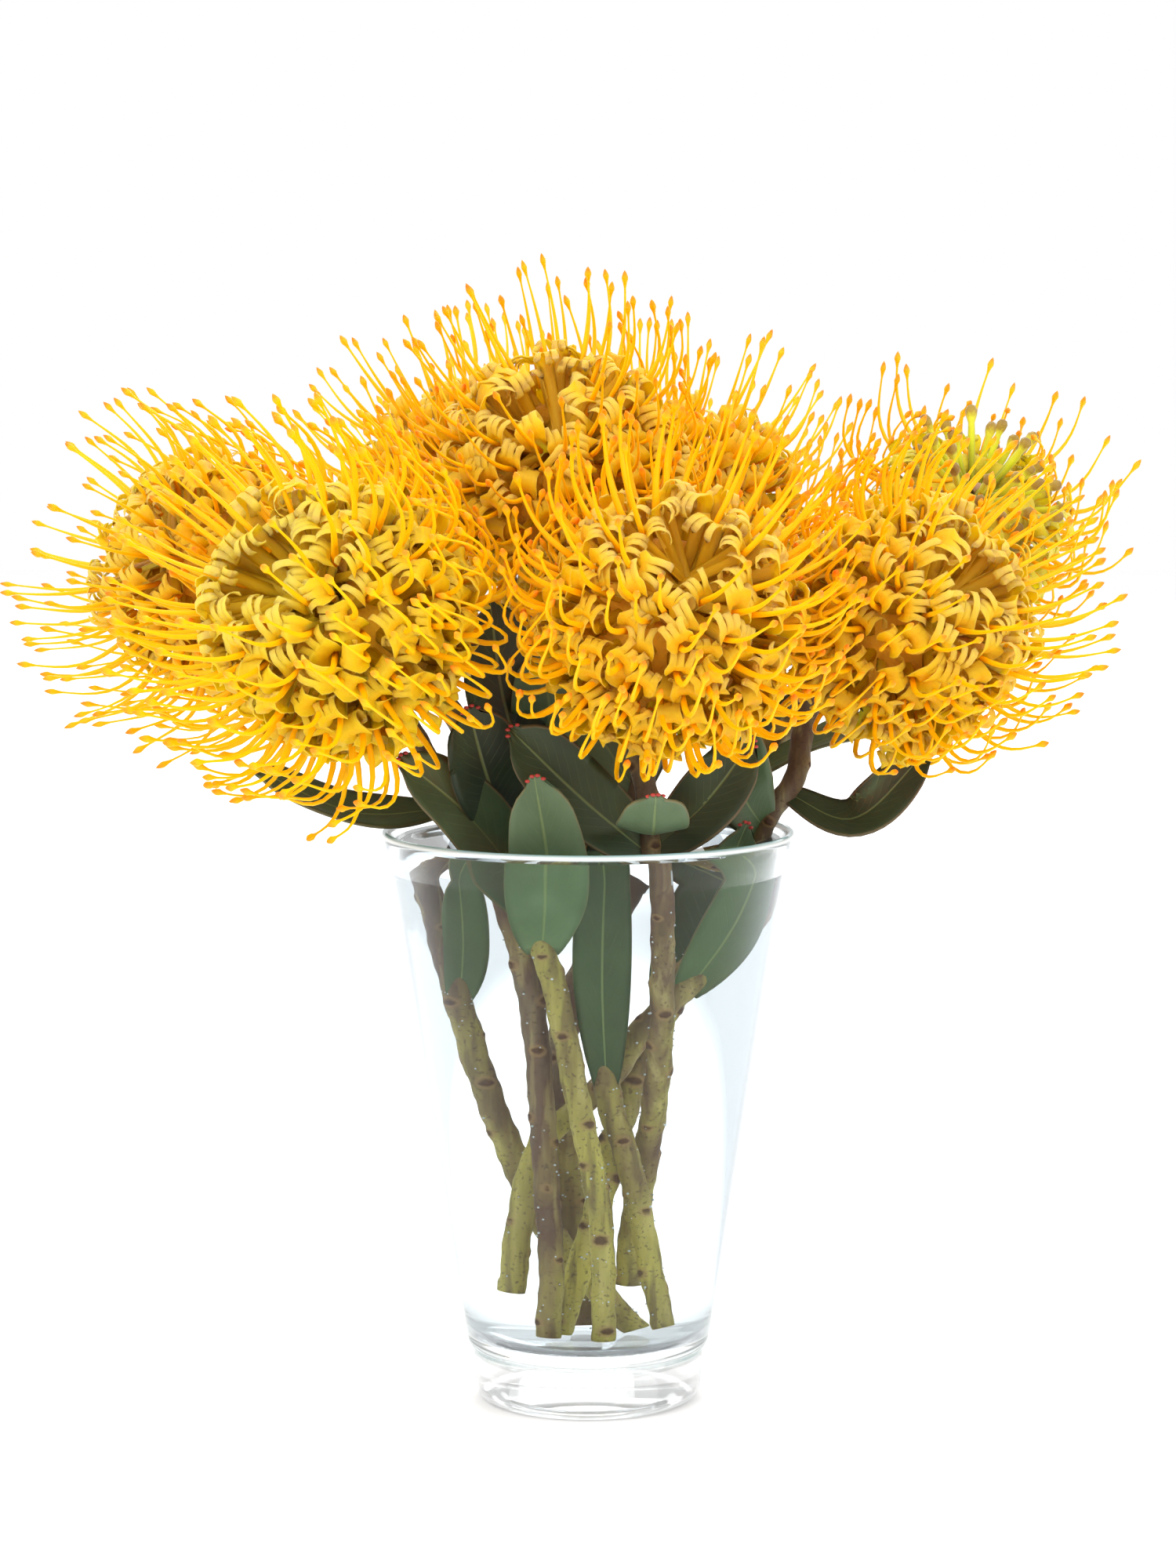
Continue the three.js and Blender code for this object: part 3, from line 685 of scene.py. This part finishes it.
def makeStalk(name, flower, coats, draw):
    route = stemRoute(flower)
    scars = []
    reach, bearing = draw.uniform(2, 6), draw.uniform(0, tau)
    while reach < route.length:
        scars.append((reach, bearing, draw.uniform(*stalkShape["scarSize"])))
        reach += draw.uniform(*stalkShape["scarGap"])
        bearing += goldenAngle + draw.uniform(-0.4, 0.4)
    steps = round(route.length / stalkShape["ring"])
    foot, neck = stalkShape["foot"], stalkShape["neck"]
    wood = [(foot + (neck - foot) * (i / steps) ** 3, i / steps) for i in range(steps + 1)]
    bm = newMesh()
    along, scar, tone = (layerOf(bm, key) for key in ("along", "across", "tone"))
    turned(bm, [(0, 0), *wood, (0, 1)], stalkShape["sides"])
    shade = draw.uniform(-1, 1)
    for v in bm.verts:
        here, mark = v.co.z * route.length, 0
        turn = atan2(v.co.y, v.co.x)
        for reach, bearing, size in scars:
            off = here - reach
            if abs(off) < 5:
                aside = ((turn - bearing + pi) % tau - pi) * foot
                mark = max(mark, exp(-((off / size) ** 2) - (aside / size / 1.4) ** 2))
        v[along], v[tone], v[scar] = v.co.z, shade, mark
        uneven = 0.14 * sin(here * 0.35 + shade * 9 + turn) + 0.1 * sin(here * 0.9 + turn * 2)
        v.co.xy *= 1 + (mark * stalkShape["scarSwell"] + uneven) / foot
    bendAlong(bm.verts, route, Vector((0, -1, 0.01)))
    addBubbles(bm, route, draw)
    finishPiece(f"stalk_{name}", bm, coats, f"stem_{name}")


def addBubbles(bm, route, draw):
    # air that clings to the bark under water
    for _ in range(stalkShape["bubbles"]):
        place, tangent = route.at(draw.uniform(0.02, 0.8))
        if place.z > stalkShape["level"]:
            continue
        out = tangent.cross(Vector((draw.gauss(0, 1), draw.gauss(0, 1), draw.gauss(0, 1)))).normalized()
        made = bmesh.ops.create_icosphere(bm, subdivisions=2, radius=draw.uniform(*stalkShape["bubble"]))
        bmesh.ops.translate(bm, vec=place + out * (stalkShape["foot"] + 0.15), verts=made["verts"])
        for face in {f for v in made["verts"] for f in v.link_faces}:
            face.material_index = 1


def makeLeaves(name, flower, coats, draw):
    stem = stemRoute(flower)
    bm = newMesh()
    for height, via, tip, width, faces in flower["leaves"]:
        base, _ = stem.at(stem.shareAtHeight(height))
        addLeaf(bm, Route([base, via, tip]), width, Vector(faces).normalized(), draw)
    finishPiece(f"leaves_{name}", bm, coats, f"stem_{name}")


# ---- flower heads ----

# in each look the first colour is painted shade at the ribbons' roots, and also the colour of their streaks
# and hairs
looks = {
    "golden": {
        "shadeAndStreaks": "#e2a600", "ribbon": "#f6b400", "shoulder": "#fc9e00", "pale": "#f2c030", "limb": "#e8c058",
        "styleRoot": "#ffae00", "style": "#ffc000", "knob": "#ffbc00", "tip": "#f47a14",
    },
    "lemon": {
        "shadeAndStreaks": "#e0b400", "ribbon": "#f6c200", "shoulder": "#fcae06", "pale": "#f2cc34", "limb": "#e8cc5c",
        "styleRoot": "#ffac00", "style": "#ffc600", "knob": "#ffc800", "tip": "#f88a1c",
    },
    "limeGold": {
        "shadeAndStreaks": "#b4ac1a", "ribbon": "#e2cc22", "shoulder": "#ecb41c", "pale": "#e4d858", "limb": "#cfc46e",
        "styleRoot": "#f8a804", "style": "#fcbc04", "knob": "#fcc00c", "tip": "#e08020",
    },
}
headForm = {
    "count": 186,        # florets
    "highest": 23,       # degrees from the head's axis of its innermost florets, and of its outermost
    "lowest": 133,
    "start": 0.965,      # where the ribbons begin to roll, as a share of the head's reach
    "coneRadius": 0.12,  # the woolly cone that the florets grow from, in head radii
    "coneTop": 0.34,
    "coneFoot": -0.3,
    "leanWithin": 42,    # degrees; inside this the ribbons roll in towards the hollow, by this share
    "lean": 0.7,
}


def makeRibbonCoat(name, look):
    coat = Coat(f"ribbon_{name}", Specular_IOR_Level=0.18, Subsurface_Weight=0.5,
                Subsurface_Scale=0.004, Subsurface_Radius=(1.0, 0.8, 0.15))
    along = coat.attribute("along")
    across = coat.attribute("across")
    tone = coat.attribute("tone")
    side = across.size()
    fibre = coat.noise(5, 3, at=coat.joined(across * 5, along * 1.2, tone * 9))
    # painted shade: the ribbon darkens towards its root, down among the florets; the same colour also
    # darkens the fibre streaks and hairs
    body = coat.ramp(along + (fibre - 0.5) * 0.14,
                     [(0.0, look["shadeAndStreaks"]), (0.26, look["ribbon"]), (0.56, look["ribbon"]),
                      (0.7, look["pale"]), (0.84, look["limb"]), (1.0, look["limb"])])
    golden = coat.smoothStep(along, 0.58, 0.7) * (1 - coat.smoothStep(tone, -0.8, 0.5))
    body = coat.blend(golden * 0.75, body, tint(look["ribbon"]))
    mouth = coat.smoothStep(along, 0.26, 0.34) * (1 - coat.smoothStep(along, 0.5, 0.6))
    # painted shade: down the middle of the ribbon's channel the colour deepens to the shoulder's orange
    channelShade = mouth * (1 - coat.smoothStep(side, 0.2, 0.9))
    hollow = coat.blend(channelShade * 0.5, body, tint(look["shoulder"]))
    flush = mouth * coat.smoothStep(side, 0.55, 0.9) * coat.smoothStep(fibre + tone * 0.2, 0.42, 0.62)
    warm = coat.blend(flush * 0.8, hollow, tint(look["shoulder"]))
    rim = coat.smoothStep(side, 0.93, 1.0) * coat.smoothStep(along, 0.2, 0.4)
    edged = coat.blend(rim * 0.45, warm, tint(look["limb"]))
    streak = coat.smoothStep(fibre, 0.5, 0.75)
    lined = coat.blend(streak * 0.35, edged, tint(look["shadeAndStreaks"]))
    varied = coat.blend((tone * 0.5 + 0.5) * 0.3, lined, tint(look["pale"]))
    grain = coat.noise(800, 3)
    hairy = coat.smoothStep(along, 0.8, 0.9)
    hairs = coat.smoothStep(grain, 0.48, 0.8) * (0.12 + hairy * 0.3)
    fine = coat.blend(hairs, varied, tint(look["shadeAndStreaks"]))
    height = fibre * 1.2 + grain * (0.25 + hairy * 0.7)
    return coat.feed(Base_Color=fine, Roughness=0.36 + fibre * 0.2 + hairy * 0.3,
                     Normal=coat.bump(height, 0.5, 0.4))


def makeStyleCoat(name, look):
    coat = Coat(f"style_{name}", Specular_IOR_Level=0.2, Subsurface_Weight=0.25,
                Subsurface_Scale=0.0025, Subsurface_Radius=(1.0, 0.7, 0.1))
    along = coat.attribute("along")
    tone = coat.attribute("tone")
    drift = coat.noise(120, 2)
    colour = coat.ramp(along + (drift - 0.5) * 0.05,
                       [(0.0, look["styleRoot"]), (0.35, look["style"]), (0.84, look["style"]),
                        (0.9, look["knob"]), (0.93, look["knob"]), (0.985, look["tip"])])
    varied = coat.blend((tone * 0.5 + 0.5) * 0.3, colour, tint(look["styleRoot"]))
    return coat.feed(Base_Color=varied, Roughness=0.35 + drift * 0.2)


def makeBudCoat():
    # the closed florets: a lime tube under a woolly grey club
    coat = Coat("closedFloret", Specular_IOR_Level=0.25, Sheen_Weight=0.2)
    along = coat.attribute("along")
    tone = coat.attribute("tone")
    hair = coat.noise(900, 3)
    colour = coat.ramp(along + (hair - 0.5) * 0.1 + tone * 0.04,
                       [(0.3, "#a5a214"), (0.55, "#ccd01e"), (0.8, "#dcd834"), (0.88, "#a98c34"),
                        (1.0, "#8a6d34")])
    return coat.feed(Base_Color=colour, Roughness=0.5 + hair * 0.3, Normal=coat.bump(hair, 0.5, 0.4))


def makeCoreCoat(name, look):
    coat = Coat(f"heart_{name}", Sheen_Weight=0.2, Specular_IOR_Level=0.15)
    along = coat.attribute("along")
    fuzz = coat.noise(900, 4)
    flock = coat.noise(140, 3)
    colour = coat.ramp(along + (flock - 0.5) * 0.15,
                       [(0.0, "#6b6440"), (0.15, look["ribbon"]), (0.6, look["ribbon"]), (0.8, "#9a682c"),
                        (1.0, "#a07c60")])
    woolly = coat.blend(fuzz * 0.3, colour, tint("#a08468"))
    return coat.feed(Base_Color=woolly, Roughness=0.85 + fuzz * 0.1, Normal=coat.bump(fuzz, 0.8, 0.6))


ribbonForm = {
    "band": [            # degrees turned, half width, how far the edges stand up, share of the way along
        (0, 1.4, 1.2, 0.0),
        (0, 2.0, 2.0, 0.15),
        (0, 2.4, 2.5, 0.3),
        (22, 3.0, 2.2, 0.38),
        (46, 3.8, 1.6, 0.45),
        (72, 4.1, 1.5, 0.51),
        (100, 3.6, 1.1, 0.57),
        (136, 3.1, 0.7, 0.62),
        (172, 3.0, 0.3, 0.66),
    ],
    "strands": (1.0, 0.96, 0.92, 0.9, 1.1, 1.1, 0.15),   # half widths of the three past the band
    "thick": 0.35,
    "lowJoint": -0.4,    # the second row's place down the tube
    "rolled": {"count": 5, "band": 9, "roll": (2.8, 3.5), "turn": (320, 420), "spread": (0.2, 1.0)},
    "open": {"count": 8, "band": 7, "roll": (2.7, 3.4), "turn": (240, 330), "spread": (1.0, 2.6)},
    "loose": {"count": 6, "band": 6, "roll": (3.0, 4.2), "turn": (210, 350), "spread": (0.5, 2.4)},
    "curly": {"count": 6, "band": 4, "roll": (3.2, 4.6), "turn": (190, 320), "spread": (0.8, 2.8)},
    "low": ("rolled", "open", "open", "loose"),      # which kinds a head has below, and round its hollow
    "high": ("loose", "curly", "curly"),
    "highWithin": 50,
}


def rollPoint(roll, turn, heading):
    # a point on a roll that starts straight up, leans over towards +Y and tightens as it turns
    place, steps = Vector(), 16
    for i in range(steps):
        lean = heading * (i + 0.5) / steps
        place += Vector((0, sin(lean), cos(lean))) * (roll * (1.2 - 0.5 * lean / turn) * heading / steps)
    return place


def ribbonPart(name, setup, draw):
    # a floret's band comes up from z = -1, rolls over towards +Y and splits into three strands
    roll, turn = draw.uniform(*setup["roll"]), radians(draw.uniform(*setup["turn"]))
    band = ribbonForm["band"][:setup["band"]]
    rows = len(band) + len(ribbonForm["strands"])
    start = radians(band[-1][0])
    ends = {k: turn * draw.uniform(0.65, 1.1) for k in (-1, 0, 1)}
    spread = {k: (k + draw.uniform(-0.8, 0.8)) * draw.uniform(*setup["spread"]) for k in (-1, 0, 1)}
    wander = {k: draw.uniform(-0.25, 0.35) for k in (-1, 0, 1)}
    bm = newMesh()
    along, across = layerOf(bm, "along"), layerOf(bm, "across")
    bmesh.ops.create_grid(bm, x_segments=3, y_segments=rows - 1, size=0.5)
    splitAt = (len(band) - 1) / (rows - 1) - 0.5
    lengthwise = [e for e in bm.edges if abs(e.verts[0].co.x - e.verts[1].co.x) < 0.01]
    inner = [e for e in lengthwise if abs(e.verts[0].co.x) < 0.3
             and min(v.co.y for v in e.verts) > splitAt - 0.01]
    bmesh.ops.split_edges(bm, edges=inner)
    places = {}
    for v in bm.verts:
        row = round((v.co.y + 0.5) * (rows - 1))
        side = v.co.x * 2
        k = round(sum(f.calc_center_median().x for f in v.link_faces) / len(v.link_faces) * 3)
        if row < len(band):
            degrees, half, lift, share = band[row]
            lean, aside, past = radians(degrees), side * half, 0
            lift *= abs(side) ** 1.6
        else:
            past = (row - len(band) + 1) / len(ribbonForm["strands"])
            lean = start + (ends[k] - start) * past
            edge = (side * 3 - k * 2) * ribbonForm["strands"][row - len(band)]
            aside = k * 2.0 + edge + spread[k] * past ** 1.3
            share, lift = 0.66 + 0.34 * past, 0
        middle = rollPoint(roll * (1 + wander[k] * past), turn, lean)
        if row < 2:
            middle.z = (-1, ribbonForm["lowJoint"])[row]
        v[along], v[across] = share, side
        places[v] = middle + Vector((aside, 0, 0)) + Vector((0, -cos(lean), sin(lean))) * (lift - 0.4)
    for v, place in places.items():
        v.co = place
    bmesh.ops.solidify(bm, geom=bm.faces[:], thickness=ribbonForm["thick"])
    bmesh.ops.recalc_face_normals(bm, faces=bm.faces[:])
    return toMesh(bm, name)


budForm = [(0, 0), (0.9, 0.0), (1.0, 0.35), (1.2, 0.62), (1.05, 0.78), (1.8, 0.87), (2.0, 0.93),
           (1.3, 0.98), (0, 1.0)]
styleForm = {
    "root": 0.8,         # where a style leaves its floret, as a share of the head's reach
    "length": 45,        # of the innermost, and how much shorter the outermost are
    "shorter": 6,
    "least": 5,          # degrees that the innermost ones bend up, and how much more the outermost do
    "more": 150,
    "sides": 6,
    "rings": [(0, 0.0), (1.15, 0.0), (1.1, 0.13), (1.0, 0.25), (0.9, 0.36), (0.8, 0.45), (0.7, 0.54),
              (0.6, 0.63), (0.5, 0.72), (0.42, 0.8), (0.44, 0.86), (0.8, 0.9), (1.3, 0.932), (1.22, 0.95),
              (0.65, 0.98), (0, 1.0)],
    "loop": 9,           # how far the style of a closed floret bows out
    "steps": 18,
    "swing": 0.3,        # how much the styles wander sideways
    "apart": 2,          # how far they keep off the other heads
}


def spunPart(name, rings, sides):
    # a slender body whose rings stand along z from 0 to 1
    bm = newMesh()
    turned(bm, rings, sides)
    along = layerOf(bm, "along")
    for v in bm.verts:
        v[along] = v.co.z
    return toMesh(bm, name)


def headTurn(flower):
    axis = Vector(flower["faces"]).normalized()
    return Matrix.Translation(flower["centre"]) @ axis.to_track_quat("Z", "Y").to_matrix().to_4x4()


class Floret:
    # where one floret stands, in its head's own frame with +Z along the axis
    def __init__(self, flower, number, count, draw):
        top, bottom = cos(radians(headForm["highest"])), cos(radians(headForm["lowest"]))
        share = (number + 0.5) / count
        self.radius = flower["radius"]
        self.polar = acos(top + (bottom - top) * share) + draw.uniform(-0.04, 0.04)
        self.bearing = number * goldenAngle + draw.uniform(-0.1, 0.1)
        self.closed = self.polar < radians(flower.get("closedWithin", 0))
        self.stretch = flower.get("stretch", 1)
        around = Vector((cos(self.bearing), sin(self.bearing), 0))
        self.out = around * sin(self.polar) + Vector((0, 0, cos(self.polar)))
        reach = self.radius * headForm["start"] * headReach(self.polar)
        self.surface = self.out * (reach * draw.uniform(0.88, 1.06))
        down = max(-(headTurn(flower).to_3x3() @ self.out).z, 0)
        self.droop = min(flower.get("droop", 0) * down * 1.3, 0.9)
        self.root = around * (self.radius * headForm["coneRadius"])
        fall = (headForm["coneTop"] - headForm["coneFoot"]) * share
        self.root.z = self.radius * (headForm["coneTop"] - fall)
        self.up = (self.surface - self.root).normalized()
        inner = self.polar < radians(headForm["leanWithin"])
        lean = Vector((0, 0, 1)).lerp(-around, headForm["lean"] if inner else 0)
        self.inward = (lean - self.up * lean.dot(self.up)).normalized()

    def frame(self):
        frame = Matrix((self.inward.cross(self.up), self.inward, self.up)).transposed().to_4x4()
        frame.translation = self.surface
        return frame


def addRibbon(bm, floret, parts, draw):
    zone = "high" if floret.polar < radians(ribbonForm["highWithin"]) else "low"
    part = draw.choice(parts[draw.choice(ribbonForm[zone])])
    paler = 0.45 if zone == "high" else -0.45
    fresh = stamp(bm, part, Matrix.Identity(4), paler + draw.uniform(-0.55, 0.55))
    along = layerOf(bm, "along")
    grow = draw.uniform(0.95, 1.2) * floret.radius / usualRadius
    depth = (floret.surface - floret.root).length
    for v in fresh:
        stretch = depth if v[along] < 0.2 else grow
        v.co = Vector((v.co.x * grow, v.co.y * grow, v.co.z * stretch))
    twist = Matrix.Rotation(draw.gauss(0, 0.5), 4, "Z")
    tilt = Matrix.Rotation(draw.uniform(-0.2, 0.45), 4, "X")
    bmesh.ops.transform(bm, matrix=floret.frame() @ twist @ tilt, verts=fresh)


def addBud(bm, floret, part, draw):
    tip = floret.surface * draw.uniform(1.0, 1.15)
    middle = (floret.root + tip) / 2 - floret.inward * draw.uniform(0, 2)
    fresh = stamp(bm, part, Matrix.Identity(4), draw.uniform(-1, 1))
    bendAlong(fresh, Route([floret.root, middle, tip]), floret.inward.cross(floret.up))
    faces = {f for v in fresh for f in v.link_faces}
    for face in faces:
        face.material_index = 1


def styleLine(floret, draw):
    # out of the head, then up towards its axis, the more the lower it grows
    radius, polar, bearing = floret.radius, floret.polar, floret.bearing
    if floret.closed:
        away = -floret.inward * styleForm["loop"] * draw.uniform(0.6, 1.2)
        start, tip = floret.surface * 0.6, floret.surface * 1.16
        bow = [start.lerp(tip, 0.4) + away, start.lerp(tip, 0.85) + away * 0.9]
        return Route([start, *bow, tip]).line
    bend = radians(styleForm["least"] + (polar / radians(120)) ** 1.6 * styleForm["more"])
    bend *= draw.uniform(0.7, 1.25) * (1 - floret.droop)
    length = styleForm["length"] - styleForm["shorter"] * polar / radians(120)
    length *= radius / usualRadius * draw.uniform(0.88, 1.0)
    length *= floret.stretch * (1 + floret.droop * 0.6)
    swing = draw.gauss(0, styleForm["swing"])
    early, late = draw.uniform(0.05, 0.2), draw.uniform(0.68, 0.9)
    steps = styleForm["steps"]
    place = floret.out * (radius * styleForm["root"] * headReach(polar)) - floret.inward
    line = [place.copy()]
    for i in range(steps):
        s = (i + 0.5) / steps
        t = min(max((s - early) / (late - early), 0), 1)
        lean = polar + radians(7) - bend * t * t * (3 - 2 * t)
        aside = bearing + swing * s
        place += Vector((sin(lean) * cos(aside), sin(lean) * sin(aside), cos(lean))) * (length / steps)
        line.append(place.copy())
    return line


def keptOut(line, name):
    # a style that meets another head bends round it
    apart = styleForm["apart"]
    others = [(Vector(f["centre"]), f["radius"] + apart) for key, f in flowers.items() if key != name]
    kept = []
    for p in line:
        for centre, reach in others:
            away = p - centre
            if away.length < reach:
                p = centre + away.normalized() * reach
        kept.append(p)
    return kept


bractForm = {
    "rings": [(0.26, -0.79, 11), (0.37, -0.68, 15), (0.49, -0.54, 19)],  # head radii out and up; how many
    "width": 4.6,
    "thick": 1.8,
    "length": 9.5,
    "seed": 31,
}


def addBracts(bm, r):
    # woolly pointed scales round the foot of the head
    draw = random.Random(bractForm["seed"])
    width, thick, length = (bractForm[key] * r / usualRadius for key in ("width", "thick", "length"))
    for radius, height, count in bractForm["rings"]:
        for k in range(count):
            bearing = tau * k / count + radius * 9 + draw.uniform(-0.12, 0.12)
            around = Vector((cos(bearing), sin(bearing), 0))
            lie = around * 0.8 + Vector((0, 0, 0.6))
            out = around * 0.6 - Vector((0, 0, 0.8))
            frame = Matrix((out.cross(lie), out, lie)).transposed().to_4x4()
            frame.translation = around * (radius * r) + Vector((0, 0, height * r)) + lie * (length * 0.4)
            tall = draw.uniform(0.8, 1.15)
            shape = Matrix.Diagonal((1, thick / width, tall, 1))
            bmesh.ops.create_cone(bm, cap_ends=True, segments=8, radius1=width / 2, radius2=0.15,
                                  depth=length, matrix=frame @ shape)


heartForm = {
    "outline": [         # radius and height in head radii, from the base up, over the lip and up the cone
        (0, -0.84), (0.2, -0.84), (0.42, -0.62), (0.6, -0.35), (0.68, 0.0), (0.66, 0.25), (0.52, 0.46),
        (0.4, 0.5), (0.3, 0.4), (0.22, 0.2), (0.15, 0.05), (0.13, 0.14), (0.1, 0.32), (0.06, 0.4),
        (0, 0.43),
    ],
    "sides": 24,
}


def makeHeart(name, flower, coat):
    # the middle behind the florets, with the woolly cone in its hollow
    r = flower["radius"]
    bm = newMesh()
    turned(bm, [(x * r, z * r) for x, z in heartForm["outline"]], heartForm["sides"])
    bmesh.ops.subdivide_edges(bm, edges=bm.edges[:], cuts=1, use_grid_fill=True, smooth=0.6)
    along = layerOf(bm, "along")
    for v in bm.verts:
        wide = Vector(v.co.xy).length / r
        if v.co.z > 0.02 * r and wide < 0.3:
            v[along] = 1.2 - wide * 3.5
        else:
            v[along] = 0.0 if v.co.z < -0.6 * r else 0.4
    addBracts(bm, r)
    bmesh.ops.transform(bm, matrix=headTurn(flower), verts=bm.verts[:])
    bmesh.ops.recalc_face_normals(bm, faces=bm.faces[:])
    finishPiece(f"heart_{name}", bm, [coat], f"bloom_{name}")


def makeHead(name, flower, parts, coats, draw):
    count = round(headForm["count"] * (flower["radius"] / usualRadius) ** 2)
    florets = [Floret(flower, i, count, draw) for i in range(count)]
    whole = headTurn(flower)
    makeHeart(name, flower, coats["heart"])

    bm = newMesh()
    for floret in florets:
        if floret.closed:
            addBud(bm, floret, parts["bud"], draw)
        else:
            addRibbon(bm, floret, parts, draw)
    bmesh.ops.transform(bm, matrix=whole, verts=bm.verts[:])
    ribbonCoats = [coats["ribbon"]] + ([coats["bud"]] if "closedWithin" in flower else [])
    finishPiece(f"florets_{name}", bm, ribbonCoats, f"bloom_{name}")

    bm = newMesh()
    for floret in florets:
        line = [whole @ p for p in styleLine(floret, draw)]
        girth = flower.get("girth", 0.82) * draw.uniform(0.85, 1.05)
        fresh = stamp(bm, parts["style"], Matrix.Diagonal((girth, girth, 1, 1)), draw.uniform(-1, 1))
        across = Vector((-sin(floret.bearing), cos(floret.bearing), 0.02))
        bendAlong(fresh, Route(keptOut(line, name), smooth=False), (whole.to_3x3() @ across).normalized())
    finishPiece(f"styles_{name}", bm, [coats["style"]], f"bloom_{name}")


# ---- everything ----

print("vase and water")
makeVase()
makeWater()

print("stems and leaves")
stalkCoats = [makeBark(), makeBubbleCoat()]
leafCoats = [makeLeafCoat(), makeToothCoat()]
for number, (name, flower) in enumerate(flowers.items()):
    draw = random.Random(100 + number)
    makeStalk(name, flower, stalkCoats, draw)
    makeLeaves(name, flower, leafCoats, draw)

print("flower heads")
partDraw = random.Random(7)
parts = {}
for kind in ("rolled", "open", "loose", "curly"):
    setup = ribbonForm[kind]
    parts[kind] = [ribbonPart(f"{kind}Ribbon{i}", setup, partDraw) for i in range(setup["count"])]
parts["bud"] = spunPart("bud", budForm, 6)
parts["style"] = spunPart("style", styleForm["rings"], styleForm["sides"])
budCoat = makeBudCoat()
lookCoats = {
    name: {
        "ribbon": makeRibbonCoat(name, look),
        "style": makeStyleCoat(name, look),
        "heart": makeCoreCoat(name, look),
        "bud": budCoat,
    }
    for name, look in looks.items()
}
for number, (name, flower) in enumerate(flowers.items()):
    makeHead(name, flower, parts, lookCoats[flower["look"]], random.Random(200 + number))
for mesh in [mesh for mesh in bpy.data.meshes if mesh.users == 0]:
    bpy.data.meshes.remove(mesh)


# ---- floor and light ----

studio = {
    "floor": 4.0,        # metres from the middle to the edge
    "sky": 1.0,
    "key": {"at": (-1.6, -1.8, 2.4), "size": 2.2, "power": 60},
    "fill": {"at": (1.9, -1.2, 1.6), "size": 2.0, "power": 30},
    "rear": {"at": (0.4, 2.2, 1.8), "size": 2.4, "power": 45},
}


def makeFloor():
    bm = bmesh.new()
    bmesh.ops.create_circle(bm, cap_ends=True, segments=96, radius=studio["floor"])
    mesh = toMesh(bm, "floor")
    coat = Coat("paleFloor", Roughness=0.7)
    grain = coat.noise(3, 2)
    mesh.materials.append(coat.feed(Base_Color=coat.ramp(grain, [(0.3, "#f6f6f6"), (0.7, "#f9f9f9")])))
    floor = bpy.data.objects.new("floor", mesh)
    bpy.context.scene.collection.objects.link(floor)


def makeLight(name, setup):
    data = bpy.data.lights.new(name, "AREA")
    data.size = setup["size"]
    data.energy = setup["power"]
    light = bpy.data.objects.new(name, data)
    light.location = setup["at"]
    aim = Vector((0, 0, 0.2)) - light.location
    light.rotation_euler = aim.to_track_quat("-Z", "Y").to_euler()
    bpy.context.scene.collection.objects.link(light)


def makeSky():
    world = bpy.data.worlds.new("studioSky")
    bpy.context.scene.world = world
    world.use_nodes = True
    sky = world.node_tree.nodes["Background"]
    sky.inputs["Color"].default_value = (1, 1, 1, 1)
    sky.inputs["Strength"].default_value = studio["sky"]
    bpy.context.scene.view_settings.view_transform = "Standard"


makeFloor()
for name in ("key", "fill", "rear"):
    makeLight(name, studio[name])
makeSky()
print("studio lit")
